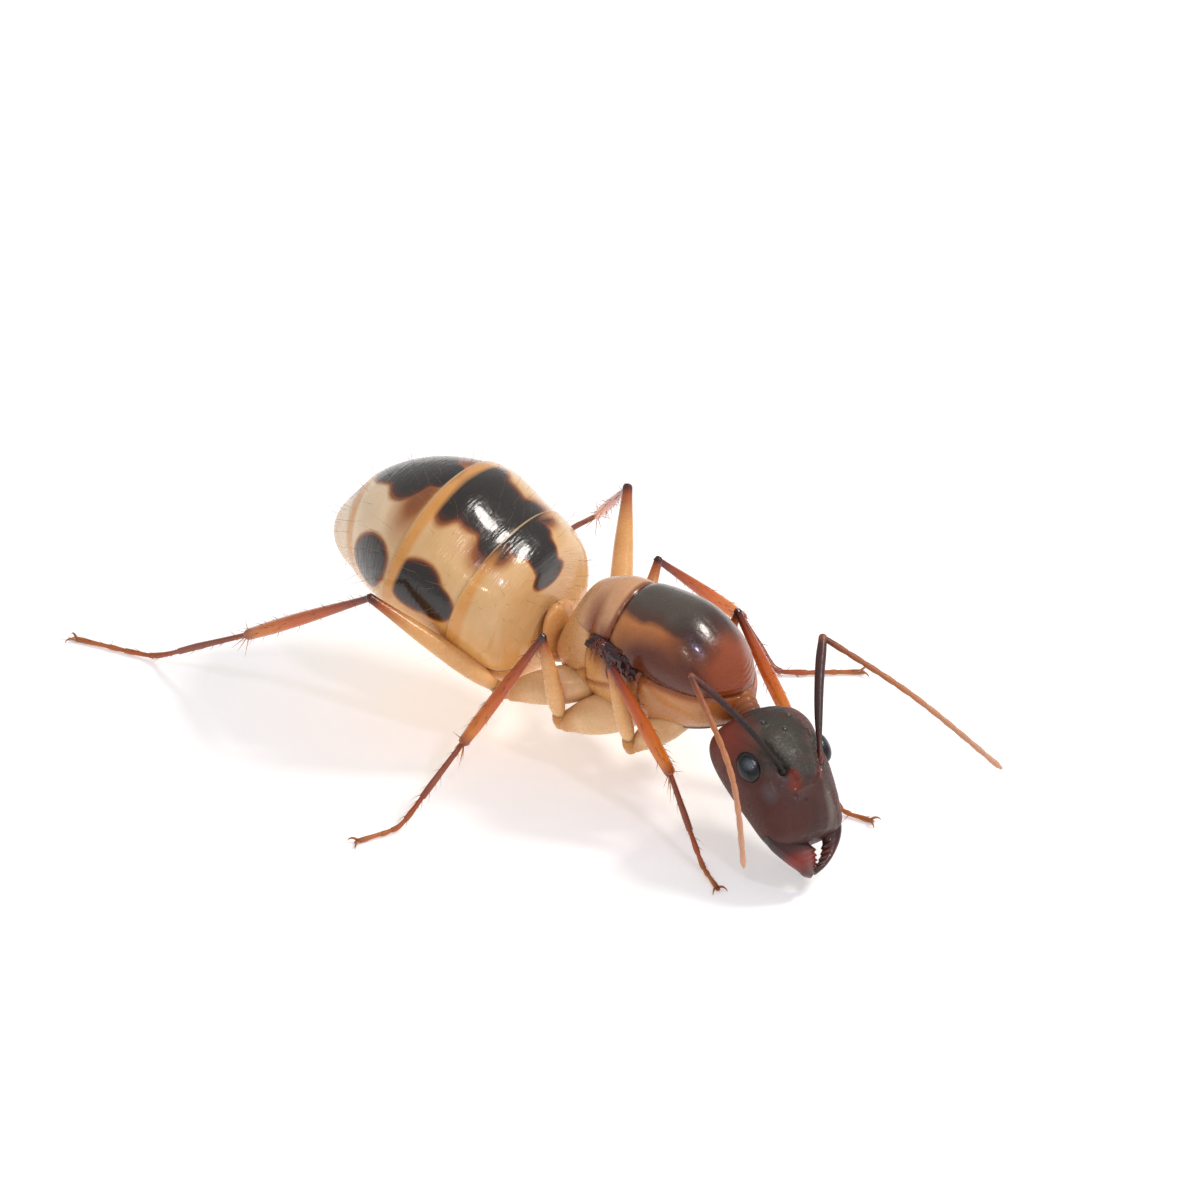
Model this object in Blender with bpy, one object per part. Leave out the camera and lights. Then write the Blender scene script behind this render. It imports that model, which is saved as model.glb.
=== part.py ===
"""Carpenter ant queen, life size, as a still display model.

The ant stands on six feet with its head to -Y, its back up and its left side to +X.
Its wings are shed, so only their torn bases are left on the thorax.
All sizes below are millimetres; meshes are scaled to metres once, when they are made.
"""
import math

import bmesh
import bpy
from mathutils import Matrix, Vector

MM = 0.001
GAP = 0.03                  # clear space between neighbouring plates and leg pieces
BOTH_SIDES = (("left", 1.0), ("right", -1.0))

# Thorax, seen from the side: y runs backwards, z up from the floor
TRUNK_FRONT_Y = -2.1
TRUNK_LENGTH = 4.9
TRUNK_HALF_WIDTH = 1.32
TRUNK_SIDES = 24
TRUNK_RINGS = 19
# Profile: share of the length, underside z, back z, share of the half width
TRUNK_PROFILE = (
    (0.00, 2.75, 3.65, 0.28),
    (0.05, 2.55, 4.05, 0.56),
    (0.15, 2.30, 4.62, 0.84),
    (0.30, 2.05, 5.06, 0.98),
    (0.48, 1.90, 5.12, 1.00),
    (0.63, 1.85, 5.05, 0.92),
    (0.73, 1.86, 4.95, 0.80),
    (0.84, 1.95, 4.66, 0.66),
    (0.94, 2.15, 3.82, 0.50),
    (1.00, 2.45, 3.20, 0.30),
)
# Seams between the thorax plates, each a straight line (y, z) to (y, z) across the side view
COLLAR_SEAM = ((-2.10, 3.50), (-0.10, 3.78))
WING_SEAM = ((-0.10, 3.78), (1.45, 4.05))
PLEURON_SEAM = ((-0.10, 3.78), (0.10, 1.80))
SCUTELLUM_SEAM = ((0.76, 5.40), (0.96, 3.90))
PROPODEUM_SEAM = ((1.35, 5.40), (1.75, 1.70))

# Head, in its own axes: "along" runs from the back of the head to the mouth
HEAD_BACK = (-0.35, -2.41, 3.10)
HEAD_TURN = 22.4            # degrees towards the ant's right
HEAD_DROOP = 35.7           # degrees below level
HEAD_ROLL = 12.4            # degrees, its top leaning to the ant's left
HEAD_SIDES = 24
HEAD_RINGS = 15
# Profile: along, half width, depth below the axis, height above it
HEAD_PROFILE = (
    (0.00, 0.43, 0.44, 0.39),
    (0.07, 0.84, 0.67, 0.55),
    (0.24, 1.13, 0.84, 0.73),
    (0.55, 1.28, 0.93, 0.89),
    (1.00, 1.30, 0.95, 1.00),
    (1.60, 1.23, 0.90, 1.04),
    (2.20, 1.14, 0.79, 0.93),
    (2.65, 1.08, 0.69, 0.76),
    (2.95, 0.98, 0.59, 0.60),
    (3.10, 0.78, 0.49, 0.48),
)
EYE_PLACE = (1.28, 1.03, 0.51)      # along, sideways, up
EYE_HALF_SIZE = (0.37, 0.26, 0.22)  # along, across, out
EYE_LOOK = (0.78, 0.62)             # which way it faces: sideways, up
# Mandible, from its hinge to its tip: along, sideways, up, half width, half thickness
MANDIBLE_SIDES = 12
MANDIBLE_SLANT = 0.35       # how far its sections lean towards the mouth
MANDIBLE_PROFILE = (
    (3.16, 0.58, -0.12, 0.28, 0.26),
    (3.30, 0.50, -0.17, 0.30, 0.25),
    (3.50, 0.39, -0.25, 0.26, 0.22),
    (3.66, 0.27, -0.33, 0.19, 0.16),
    (3.80, 0.15, -0.40, 0.09, 0.09),
)

# Feelers: socket, elbow, middle and tip of the whip
FEELER_RADIUS = 0.23
FEELERS = {
    "left": ((-0.43, -4.60, 3.18), (1.70, -2.95, 4.30), (2.42, -4.92, 3.10), (3.00, -6.90, 1.64)),
    "right": ((-1.32, -4.36, 3.35), (-2.02, -2.04, 5.00), (-2.68, -3.62, 3.38), (-3.00, -4.20, 1.27)),
}

# Petiole: the upright scale between thorax and gaster, from its foot up: y, z, half width
PETIOLE_SIDES = 16
PETIOLE_RINGS = 9
PETIOLE_HALF_THICKNESS = 0.20
PETIOLE_PROFILE = (
    (3.00, 2.30, 0.24),
    (3.00, 2.42, 0.38),
    (3.01, 2.70, 0.48),
    (3.03, 3.05, 0.56),
    (3.04, 3.35, 0.54),
    (3.05, 3.58, 0.40),
    (3.06, 3.68, 0.22),
)

# Gaster: stations along its arched line. y, z, tilt of the ring, half width, half height
GASTER_SIDES = 24
GASTER_LINE = (
    (3.26, 2.96, 0.0, 0.66, 0.58),
    (3.31, 3.06, 1.0, 1.26, 1.06),
    (3.56, 3.42, 6.0, 1.82, 1.64),
    (4.50, 3.74, 13.0, 2.12, 1.86),
    (5.36, 4.02, 15.0, 2.18, 1.88),
    (6.24, 4.18, 12.0, 2.12, 1.84),
    (7.00, 4.06, -4.0, 1.84, 1.66),
    (7.74, 3.78, -16.0, 1.36, 1.32),
    (8.30, 3.52, -20.0, 0.95, 0.93),
    (8.68, 3.35, -24.0, 0.60, 0.58),
    (8.92, 3.24, -26.0, 0.24, 0.22),
)
GASTER_PLATES = ((0, 3), (3, 5), (5, 7), (7, 9), (9, 10))   # from station to station
GASTER_STEPS = 3            # rings between two stations

# Legs: hip, knee, ankle, the bend where the tarsus reaches the floor, and toe
LEG_RADIUS = 0.25
LEG_SIDES = 8
FOOT_AXIS_Z = 0.20          # the sole is cut flat on the floor below this
LEGS = {
    "fore_left": ((1.32, -0.05, 1.78), (1.78, -0.58, 3.95), (1.52, -2.20, 1.86),
                  (1.36, -3.74, FOOT_AXIS_Z), (1.48, -4.40, FOOT_AXIS_Z)),
    "fore_right": ((-1.32, 0.10, 1.78), (-1.80, 0.32, 4.20), (-1.70, -1.23, 1.90),
                   (-2.19, -2.50, FOOT_AXIS_Z), (-2.58, -3.16, FOOT_AXIS_Z)),
    "mid_left": ((1.25, 2.07, 1.60), (3.30, 2.70, 3.15), (5.00, 1.64, 1.08),
                 (4.85, 0.55, FOOT_AXIS_Z), (6.00, -0.90, FOOT_AXIS_Z)),
    "mid_right": ((-1.25, 2.07, 1.60), (-1.92, 2.08, 4.28), (-3.10, 3.36, 1.62),
                  (-4.93, 3.82, FOOT_AXIS_Z), (-5.80, 4.28, FOOT_AXIS_Z)),
    "hind_left": ((1.50, 2.50, 2.40), (4.40, 4.34, 3.83), (6.30, 6.55, 1.10),
                  (6.25, 7.65, FOOT_AXIS_Z), (6.50, 10.60, FOOT_AXIS_Z)),
    "hind_right": ((-1.62, 3.34, 2.10), (-2.98, 6.02, 4.32), (-2.80, 9.50, 1.80),
                   (-2.83, 12.15, FOOT_AXIS_Z), (-3.23, 13.98, FOOT_AXIS_Z)),
}
COXA_ROOTS = {"fore": (0.66, -0.72, 2.55), "mid": (0.62, 0.75, 2.15), "hind": (0.55, 1.95, 2.35)}
COXA_RADII = (0.40, 0.27)   # at the thorax and at the hip

# Torn wing bases on the upper flank of the thorax
WING_STUB_PLACE = (1.22, 0.60, 4.16)
WING_STUB_HALF_SIZE = (0.20, 0.62, 0.24)
WING_STUB_SLOPE = 20.0      # degrees, rising backwards

# Colour (linear) of each kind of plate
PLATE_COLOUR = {
    "head": (0.060, 0.036, 0.030), "mandible": (0.150, 0.030, 0.018), "eye": (0.010, 0.011, 0.013),
    "scape": (0.070, 0.025, 0.022), "funiculus": (0.420, 0.120, 0.050),
    "pronotum": (0.560, 0.270, 0.110), "scutum": (0.190, 0.060, 0.030),
    "mesothorax": (0.600, 0.330, 0.150), "scutellum": (0.560, 0.300, 0.160),
    "propodeum": (0.620, 0.360, 0.170), "petiole": (0.640, 0.370, 0.170),
    "gaster": (0.620, 0.390, 0.190), "wing_base": (0.030, 0.016, 0.014),
    "coxa": (0.640, 0.380, 0.170), "femur": (0.600, 0.310, 0.110),
    "tibia": (0.480, 0.130, 0.035), "tarsus": (0.330, 0.080, 0.035),
}
PLATE_ROUGHNESS = 0.32
SHARP_EDGE = 45.0           # degrees


# ---------------------------------------------------------------- making and parting solids

def finish(name, kind, mesh_data):
    """Turn a bmesh in millimetres into a named object with its own material."""
    bmesh.ops.remove_doubles(mesh_data, verts=mesh_data.verts, dist=1e-4)
    bmesh.ops.recalc_face_normals(mesh_data, faces=mesh_data.faces)
    bmesh.ops.triangulate(mesh_data, faces=[f for f in mesh_data.faces if len(f.verts) > 4])
    mesh = bpy.data.meshes.new(name)
    mesh_data.to_mesh(mesh)
    mesh_data.free()
    mesh.transform(Matrix.Scale(MM, 4))
    mesh.shade_smooth()
    mesh.set_sharp_from_angle(angle=math.radians(SHARP_EDGE))
    item = bpy.data.objects.new(name, mesh)
    bpy.context.scene.collection.objects.link(item)
    item.data.materials.append(plate_material(name, kind))
    return item


def plate_material(name, kind):
    """Hard chitin in the plain colour of this kind of plate."""
    material = bpy.data.materials.new(name + "_chitin")
    material.use_nodes = True
    shader = material.node_tree.nodes["Principled BSDF"]
    shader.inputs["Base Color"].default_value = (*PLATE_COLOUR[kind], 1.0)
    shader.inputs["Roughness"].default_value = PLATE_ROUGHNESS
    shader.inputs["Metallic"].default_value = 0.0
    return material


def oval(centre, across, up, half_width, below, above, sides):
    """A ring of points: half an ellipse above its centre and half another below it."""
    ring = []
    for step in range(sides):
        turn = math.tau * (step + 0.5) / sides
        height = above if math.sin(turn) > 0 else below
        ring.append(centre + across * (half_width * math.cos(turn)) + up * (height * math.sin(turn)))
    return ring


def loft(rings):
    """A closed solid through rings of equal count, with flat ends."""
    solid = bmesh.new()
    rows = [[solid.verts.new(point) for point in ring] for ring in rings]
    count = len(rows[0])
    for near, far in zip(rows, rows[1:]):
        for i in range(count):
            j = (i + 1) % count
            solid.faces.new((near[i], near[j], far[j], far[i]))
    solid.faces.new(rows[0])
    solid.faces.new(list(reversed(rows[-1])))
    bmesh.ops.recalc_face_normals(solid, faces=solid.faces)
    return solid


def smooth_between(stations, position):
    """Value of a list of stations at a whole-and-part position, on a smooth curve."""
    last = len(stations) - 1
    index = min(int(position), last - 1)
    t = position - index
    before = stations[max(index - 1, 0)]
    start, end = stations[index], stations[index + 1]
    after = stations[min(index + 2, last)]
    values = []
    for p0, p1, p2, p3 in zip(before, start, end, after):
        slope_in, slope_out = (p2 - p0) / 2, (p3 - p1) / 2
        values.append(p1 * (1 + 2 * t) * (1 - t) ** 2 + slope_in * t * (1 - t) ** 2
                      + p2 * t * t * (3 - 2 * t) + slope_out * t * t * (t - 1))
    return values


def keep_side(solid, point, direction):
    """Cut a solid by a plane, keep the side the direction points to, and close the cut."""
    direction = Vector(direction).normalized()
    point = Vector(point) + direction * (GAP / 2)
    everything = list(solid.verts) + list(solid.edges) + list(solid.faces)
    cut = bmesh.ops.bisect_plane(solid, geom=everything, plane_co=point, plane_no=direction,
                                 clear_inner=True, dist=1e-5)
    rim = [edge for edge in cut["geom_cut"] if isinstance(edge, bmesh.types.BMEdge)]
    open_rim = [edge for edge in rim if edge.is_boundary]
    if open_rim:
        bmesh.ops.contextual_create(solid, geom=open_rim)
    return solid


def capsule(path, radii, sides):
    """A round-ended tube along a path of points, one radius for each point."""
    points = [Vector(p) for p in path]
    first = (points[1] - points[0]).normalized()
    across = first.orthogonal().normalized()
    rings = []
    for index, (point, radius) in enumerate(zip(points, radii)):
        back = (point - points[index - 1]).normalized() if index else first
        ahead = (points[index + 1] - point).normalized() if index < len(points) - 1 else back
        along = (back + ahead).normalized()
        across = (across - along * across.dot(along)).normalized()
        up = along.cross(across)
        if index == 0:
            rings += end_rings(point, along, across, up, radius, sides, -1)
        rings.append(oval(point, across, up, radius, radius, radius, sides))
        if index == len(points) - 1:
            rings += end_rings(point, along, across, up, radius, sides, 1)
    return loft(rings)


def end_rings(point, along, across, up, radius, sides, way):
    """Two shrinking rings that round off a capsule's end."""
    rings = []
    for angle in (40, 72):
        reach, width = math.sin(math.radians(angle)), math.cos(math.radians(angle))
        centre = point + along * (way * radius * reach)
        rings.append(oval(centre, across, up, radius * width, radius * width, radius * width, sides))
    return rings if way > 0 else list(reversed(rings))


def subtract(item, cutter):
    """Take a cutter out of an item with an exact Boolean, then drop the cutter."""
    cut = item.modifiers.new("cut", "BOOLEAN")
    cut.operation = "DIFFERENCE"
    cut.object = cutter
    bpy.context.view_layer.update()
    result = bpy.data.meshes.new_from_object(item.evaluated_get(bpy.context.evaluated_depsgraph_get()))
    item.modifiers.clear()
    item.data = result
    bpy.data.objects.remove(cutter)


# ---------------------------------------------------------------- thorax and petiole

def trunk_solid(extra=0.0):
    """The whole thorax as one solid, its skin pushed out by extra."""
    rings = []
    for step in range(TRUNK_RINGS):
        position = step * (len(TRUNK_PROFILE) - 1) / (TRUNK_RINGS - 1)
        share, low, high, width = smooth_between(TRUNK_PROFILE, position)
        middle = (low + high) / 2
        end_push = extra * (position > 0) - extra * (position == 0)
        centre = Vector((0.0, TRUNK_FRONT_Y + TRUNK_LENGTH * share + end_push, middle))
        half_height = (high - low) / 2 + extra
        rings.append(oval(centre, Vector((1, 0, 0)), Vector((0, 0, 1)),
                          TRUNK_HALF_WIDTH * width + extra, half_height, half_height, TRUNK_SIDES))
    return loft(rings)


def keep_beside_seam(solid, seam, kept):
    """Part the thorax along a seam and keep the side that lies towards kept, a (y, z) way."""
    start, end = Vector((0.0, *seam[0])), Vector((0.0, *seam[1]))
    run = end - start
    normal = Vector((0.0, -run.z, run.y))
    towards = Vector((0.0, *kept))
    keep_side(solid, start, normal if normal.dot(towards) > 0 else -normal)


def build_thorax():
    ahead, behind, over, under = (-1.0, 0.0), (1.0, 0.0), (0.0, 1.0), (0.0, -1.0)
    plates = {
        "pronotum": ((COLLAR_SEAM, under), (PLEURON_SEAM, ahead)),
        "scutum": ((COLLAR_SEAM, over), (WING_SEAM, over), (SCUTELLUM_SEAM, ahead)),
        "scutellum": ((WING_SEAM, over), (SCUTELLUM_SEAM, behind)),
        "mesothorax": ((WING_SEAM, under), (PLEURON_SEAM, behind), (PROPODEUM_SEAM, ahead)),
        "propodeum": ((WING_SEAM, under), (PROPODEUM_SEAM, behind)),
    }
    for name, seams in plates.items():
        solid = trunk_solid()
        for seam, kept in seams:
            keep_beside_seam(solid, seam, kept)
        finish(name, name, solid)


def build_petiole():
    """The scale, thickest at mid height, thinning to its foot and to its rounded crest."""
    rings = []
    for step in range(PETIOLE_RINGS):
        position = step * (len(PETIOLE_PROFILE) - 1) / (PETIOLE_RINGS - 1)
        y, z, half_width = smooth_between(PETIOLE_PROFILE, position)
        bulge = math.sin(math.pi * (step + 0.5) / PETIOLE_RINGS)
        half_thickness = PETIOLE_HALF_THICKNESS * (0.4 + 0.6 * bulge)
        rings.append(oval(Vector((0.0, y, z)), Vector((1, 0, 0)), Vector((0, 1, 0)),
                          half_width, half_thickness, half_thickness, PETIOLE_SIDES))
    finish("petiole", "petiole", loft(rings))


def build_wing_stubs():
    """The torn root of the wings, a low dark lump against the upper flank on each side."""
    for side, way in BOTH_SIDES:
        lump = bmesh.new()
        bmesh.ops.create_icosphere(lump, subdivisions=2, radius=1.0)
        shape = (Matrix.Translation((way * WING_STUB_PLACE[0], *WING_STUB_PLACE[1:]))
                 @ Matrix.Rotation(math.radians(WING_STUB_SLOPE), 4, "X")
                 @ Matrix.Diagonal((*WING_STUB_HALF_SIZE, 1.0)))
        bmesh.ops.transform(lump, matrix=shape, verts=lump.verts)
        stub = finish("wing_base_" + side, "wing_base", lump)
        subtract(stub, finish("trunk_cutter", "wing_base", trunk_solid(GAP)))


# ---------------------------------------------------------------- head and feelers

def head_axes():
    """Origin and the along, left and up directions of the drooping, turned and tilted head."""
    turn, droop, roll = (math.radians(angle) for angle in (HEAD_TURN, HEAD_DROOP, HEAD_ROLL))
    ahead = Vector((-math.sin(turn), -math.cos(turn), 0.0))
    along = ahead * math.cos(droop) - Vector((0, 0, 1)) * math.sin(droop)
    level = ahead * math.sin(droop) + Vector((0, 0, 1)) * math.cos(droop)
    up = level * math.cos(roll) + level.cross(along) * math.sin(roll)
    return Vector(HEAD_BACK), along, up.cross(along), up


def in_head(along_by, left_by, up_by):
    """A point given in the head's own axes."""
    origin, along, left, up = head_axes()
    return origin + along * along_by + left * left_by + up * up_by


def head_solid():
    origin, along, left, up = head_axes()
    rings = []
    for step in range(HEAD_RINGS):
        position = step * (len(HEAD_PROFILE) - 1) / (HEAD_RINGS - 1)
        along_by, half_width, below, above = smooth_between(HEAD_PROFILE, position)
        rings.append(oval(origin + along * along_by, left, up, half_width, below, above, HEAD_SIDES))
    return loft(rings)


def eye_solid(way, extra=0.0):
    """One eye, an oval lens set into the side of the head."""
    origin, along, left, up = head_axes()
    outward = (left * way * EYE_LOOK[0] + up * EYE_LOOK[1]).normalized()
    across = along.cross(outward)
    eye = bmesh.new()
    bmesh.ops.create_icosphere(eye, subdivisions=2, radius=1.0)
    centre = in_head(EYE_PLACE[0], way * EYE_PLACE[1], EYE_PLACE[2])
    sizes = [half + extra for half in EYE_HALF_SIZE]
    for vert in eye.verts:
        x, y, z = vert.co
        vert.co = centre + along * (x * sizes[0]) + across * (y * sizes[1]) + outward * (z * sizes[2])
    return eye


def build_head():
    head = finish("head", "head", head_solid())
    for side, way in BOTH_SIDES:
        subtract(head, finish("socket_cutter", "eye", eye_solid(way, GAP)))
        finish("eye_" + side, "eye", eye_solid(way))


def build_mandibles():
    """Two jaws, hinged at the head's front corners and closing towards each other."""
    _, along, left, up = head_axes()
    for side, way in BOTH_SIDES:
        rings = []
        for along_by, left_by, up_by, half_width, half_thickness in MANDIBLE_PROFILE:
            centre = in_head(along_by, way * left_by, up_by)
            across = (left * way + along * MANDIBLE_SLANT).normalized()
            rings.append(oval(centre, across, up, half_width, half_thickness, half_thickness,
                              MANDIBLE_SIDES))
        finish("mandible_" + side, "mandible", loft(rings))


def part_at_joint(before, after, previous, joint, following):
    """Part two jointed pieces on the plane that halves the angle between them."""
    back = (Vector(previous) - Vector(joint)).normalized()
    ahead = (Vector(following) - Vector(joint)).normalized()
    keep_side(before, joint, back - ahead)
    keep_side(after, joint, ahead - back)


def build_feelers():
    for side, (socket, elbow, middle, tip) in FEELERS.items():
        scape = capsule((socket, elbow), (FEELER_RADIUS * 0.8, FEELER_RADIUS), LEG_SIDES)
        whip_base = capsule((elbow, middle), (FEELER_RADIUS, FEELER_RADIUS), LEG_SIDES)
        whip_tip = capsule((middle, tip), (FEELER_RADIUS, FEELER_RADIUS * 0.8), LEG_SIDES)
        part_at_joint(scape, whip_base, socket, elbow, middle)
        part_at_joint(whip_base, whip_tip, elbow, middle, tip)
        finish("scape_" + side, "scape", scape)
        finish("funiculus_base_" + side, "funiculus", whip_base)
        finish("funiculus_tip_" + side, "funiculus", whip_tip)


# ---------------------------------------------------------------- gaster

def gaster_ring(position):
    y, z, tilt, half_width, half_height = smooth_between(GASTER_LINE, position)
    up = Vector((0.0, -math.sin(math.radians(tilt)), math.cos(math.radians(tilt))))
    return oval(Vector((0.0, y, z)), Vector((1, 0, 0)), up, half_width, half_height, half_height,
                GASTER_SIDES)


def build_gaster():
    """Five rings of the gaster, each ending a thin gap before the next one."""
    for number, (first, last) in enumerate(GASTER_PLATES, start=1):
        steps = (last - first) * GASTER_STEPS
        rings = [gaster_ring(first + (last - first) * step / steps) for step in range(steps + 1)]
        if number > 1:
            rings[0] = [point.lerp(ahead, GAP / (ahead - point).length)
                        for point, ahead in zip(rings[0], rings[1])]
        finish(f"gaster_{number}", "gaster", loft(rings))


# ---------------------------------------------------------------- legs

def build_leg(name, joints):
    hip, knee, ankle, bend, toe = joints
    pair, side = name.split("_")
    way = 1.0 if side == "left" else -1.0
    root = COXA_ROOTS[pair]
    root = (way * root[0], *root[1:])
    coxa = capsule((root, hip), COXA_RADII, LEG_SIDES)
    femur = capsule((hip, knee), (LEG_RADIUS, LEG_RADIUS), LEG_SIDES)
    tibia = capsule((knee, ankle), (LEG_RADIUS, LEG_RADIUS), LEG_SIDES)
    tarsus = capsule((ankle, bend, toe), (LEG_RADIUS, LEG_RADIUS, LEG_RADIUS), LEG_SIDES)
    part_at_joint(coxa, femur, root, hip, knee)
    part_at_joint(femur, tibia, hip, knee, ankle)
    part_at_joint(tibia, tarsus, knee, ankle, bend)
    keep_side(tarsus, (0.0, 0.0, -GAP / 2), (0.0, 0.0, 1.0))
    coxa_plate = finish("coxa_" + name, "coxa", coxa)
    subtract(coxa_plate, finish("trunk_cutter", "coxa", trunk_solid(GAP)))
    finish("femur_" + name, "femur", femur)
    finish("tibia_" + name, "tibia", tibia)
    finish("tarsus_" + name, "tarsus", tarsus)


def centre_on_floor():
    """Shift every plate so that the middle of the ant's footprint is the origin."""
    points = [vert.co for item in bpy.data.objects for vert in item.data.vertices]
    middle = [(min(p[axis] for p in points) + max(p[axis] for p in points)) / 2 for axis in (0, 1)]
    shift = Matrix.Translation((-middle[0], -middle[1], -min(p.z for p in points)))
    for item in bpy.data.objects:
        item.data.transform(shift)


def main():
    for item in list(bpy.data.objects):
        bpy.data.objects.remove(item)
    build_thorax()
    build_petiole()
    build_wing_stubs()
    build_head()
    build_mandibles()
    build_feelers()
    build_gaster()
    for name, joints in LEGS.items():
        build_leg(name, joints)
    centre_on_floor()


main()
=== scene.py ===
"""Carpenter ant queen, life size: the finished look of the display model.

Sizes are millimetres in the ant's own frame: x to its left, y backwards, z up from the floor.
row_place() turns a point of that frame into metres in the frame that the solids use.
"""

import math
import random

import bmesh
import bpy
import numpy as np
from mathutils import Matrix, Vector, noise


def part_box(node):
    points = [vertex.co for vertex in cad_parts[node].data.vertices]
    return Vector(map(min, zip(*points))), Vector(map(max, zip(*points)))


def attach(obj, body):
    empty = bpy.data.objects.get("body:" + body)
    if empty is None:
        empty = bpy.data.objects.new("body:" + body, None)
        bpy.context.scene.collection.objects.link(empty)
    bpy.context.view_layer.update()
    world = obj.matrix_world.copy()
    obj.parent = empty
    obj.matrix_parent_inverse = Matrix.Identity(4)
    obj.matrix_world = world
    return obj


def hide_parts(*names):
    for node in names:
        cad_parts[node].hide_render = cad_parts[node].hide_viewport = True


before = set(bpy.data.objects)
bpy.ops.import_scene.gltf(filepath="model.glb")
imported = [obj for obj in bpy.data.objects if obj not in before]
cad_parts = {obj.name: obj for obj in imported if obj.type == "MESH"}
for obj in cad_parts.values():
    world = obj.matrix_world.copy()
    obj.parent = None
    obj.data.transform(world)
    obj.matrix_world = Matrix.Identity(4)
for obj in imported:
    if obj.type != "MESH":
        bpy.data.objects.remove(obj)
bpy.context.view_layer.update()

MM = 0.001
BOTH_SIDES = (("left", 1.0), ("right", -1.0))
AXES = Vector((1, 0, 0)), Vector((0, 1, 0)), Vector((0, 0, 1))
X_AXIS, _, Z_AXIS = AXES
SEAM_GAP = 0.012            # clear space between neighbouring plates
SHARP_EDGE = 50.0           # degrees

# ---------------------------------------------------------------- sizes shared with the solids

# Thorax, seen from the side. Profile: share of the length, underside z, back z, share of the half width
TRUNK_FRONT_Y = -2.1
TRUNK_LENGTH = 4.9
TRUNK_HALF_WIDTH = 1.32
TRUNK_PROFILE = (
    (0.00, 2.75, 3.65, 0.28),
    (0.05, 2.55, 4.05, 0.56),
    (0.15, 2.30, 4.62, 0.84),
    (0.30, 2.05, 5.06, 0.98),
    (0.48, 1.90, 5.12, 1.00),
    (0.63, 1.85, 5.05, 0.92),
    (0.73, 1.86, 4.95, 0.80),
    (0.84, 1.95, 4.66, 0.66),
    (0.94, 2.15, 3.82, 0.50),
    (1.00, 2.45, 3.20, 0.30),
)
# Seams between the plates, as straight lines (y, z) to (y, z) across the side view
COLLAR_SEAM = ((-2.10, 3.50), (-0.10, 3.78))
WING_SEAM = ((-0.10, 3.78), (1.45, 4.05))
PLEURON_SEAM = ((-0.10, 3.78), (0.10, 1.80))
SCUTELLUM_SEAM = ((0.76, 5.40), (0.96, 3.90))
PROPODEUM_SEAM = ((1.35, 5.40), (1.75, 1.70))

# Head, in its own axes. Profile: along, half width, depth below the axis, height above it
HEAD_BACK = (-0.35, -2.41, 3.10)
HEAD_TURN = 22.4            # degrees towards the ant's right
HEAD_DROOP = 35.7           # degrees below level
HEAD_ROLL = 12.4            # degrees, its top leaning to the ant's left
HEAD_PROFILE = (
    (0.00, 0.43, 0.44, 0.39),
    (0.07, 0.84, 0.67, 0.55),
    (0.24, 1.13, 0.84, 0.73),
    (0.55, 1.28, 0.93, 0.89),
    (1.00, 1.30, 0.95, 1.00),
    (1.60, 1.23, 0.90, 1.04),
    (2.20, 1.14, 0.79, 0.93),
    (2.65, 1.08, 0.69, 0.76),
    (2.95, 0.98, 0.59, 0.60),
    (3.10, 0.78, 0.49, 0.48),
)
EYE_PLACE = (1.28, 1.03, 0.51)      # along, sideways, up
EYE_HALF_SIZE = (0.37, 0.26, 0.22)  # along, across, out
EYE_LOOK = (0.78, 0.62)             # which way it faces: sideways, up

# Feelers: elbow, middle and tip of the whip
FEELERS = {
    "left": ((1.70, -2.95, 4.30), (2.42, -4.92, 3.10), (3.00, -6.90, 1.64)),
    "right": ((-2.02, -2.04, 5.00), (-2.68, -3.62, 3.38), (-3.00, -4.20, 1.27)),
}

# Petiole: the upright scale between thorax and gaster, from its foot up: y, z, half width
PETIOLE_PROFILE = (
    (3.00, 2.30, 0.24),
    (3.00, 2.42, 0.38),
    (3.01, 2.70, 0.48),
    (3.03, 3.05, 0.56),
    (3.04, 3.35, 0.54),
    (3.05, 3.58, 0.40),
    (3.06, 3.68, 0.22),
)

# Gaster: stations along its arched line. y, z, tilt of the ring, half width, half height
GASTER_LINE = (
    (3.26, 2.96, 0.0, 0.66, 0.58),
    (3.31, 3.06, 1.0, 1.26, 1.06),
    (3.56, 3.42, 6.0, 1.82, 1.64),
    (4.50, 3.74, 13.0, 2.12, 1.86),
    (5.36, 4.02, 15.0, 2.18, 1.88),
    (6.24, 4.18, 12.0, 2.12, 1.84),
    (7.00, 4.06, -4.0, 1.84, 1.66),
    (7.74, 3.78, -16.0, 1.36, 1.32),
    (8.30, 3.52, -20.0, 0.95, 0.93),
    (8.68, 3.35, -24.0, 0.60, 0.58),
    (8.92, 3.24, -26.0, 0.24, 0.22),
)
GASTER_PLATES = ((0, 3), (3, 5), (5, 7), (7, 9), (9, 10))   # from station to station

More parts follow.
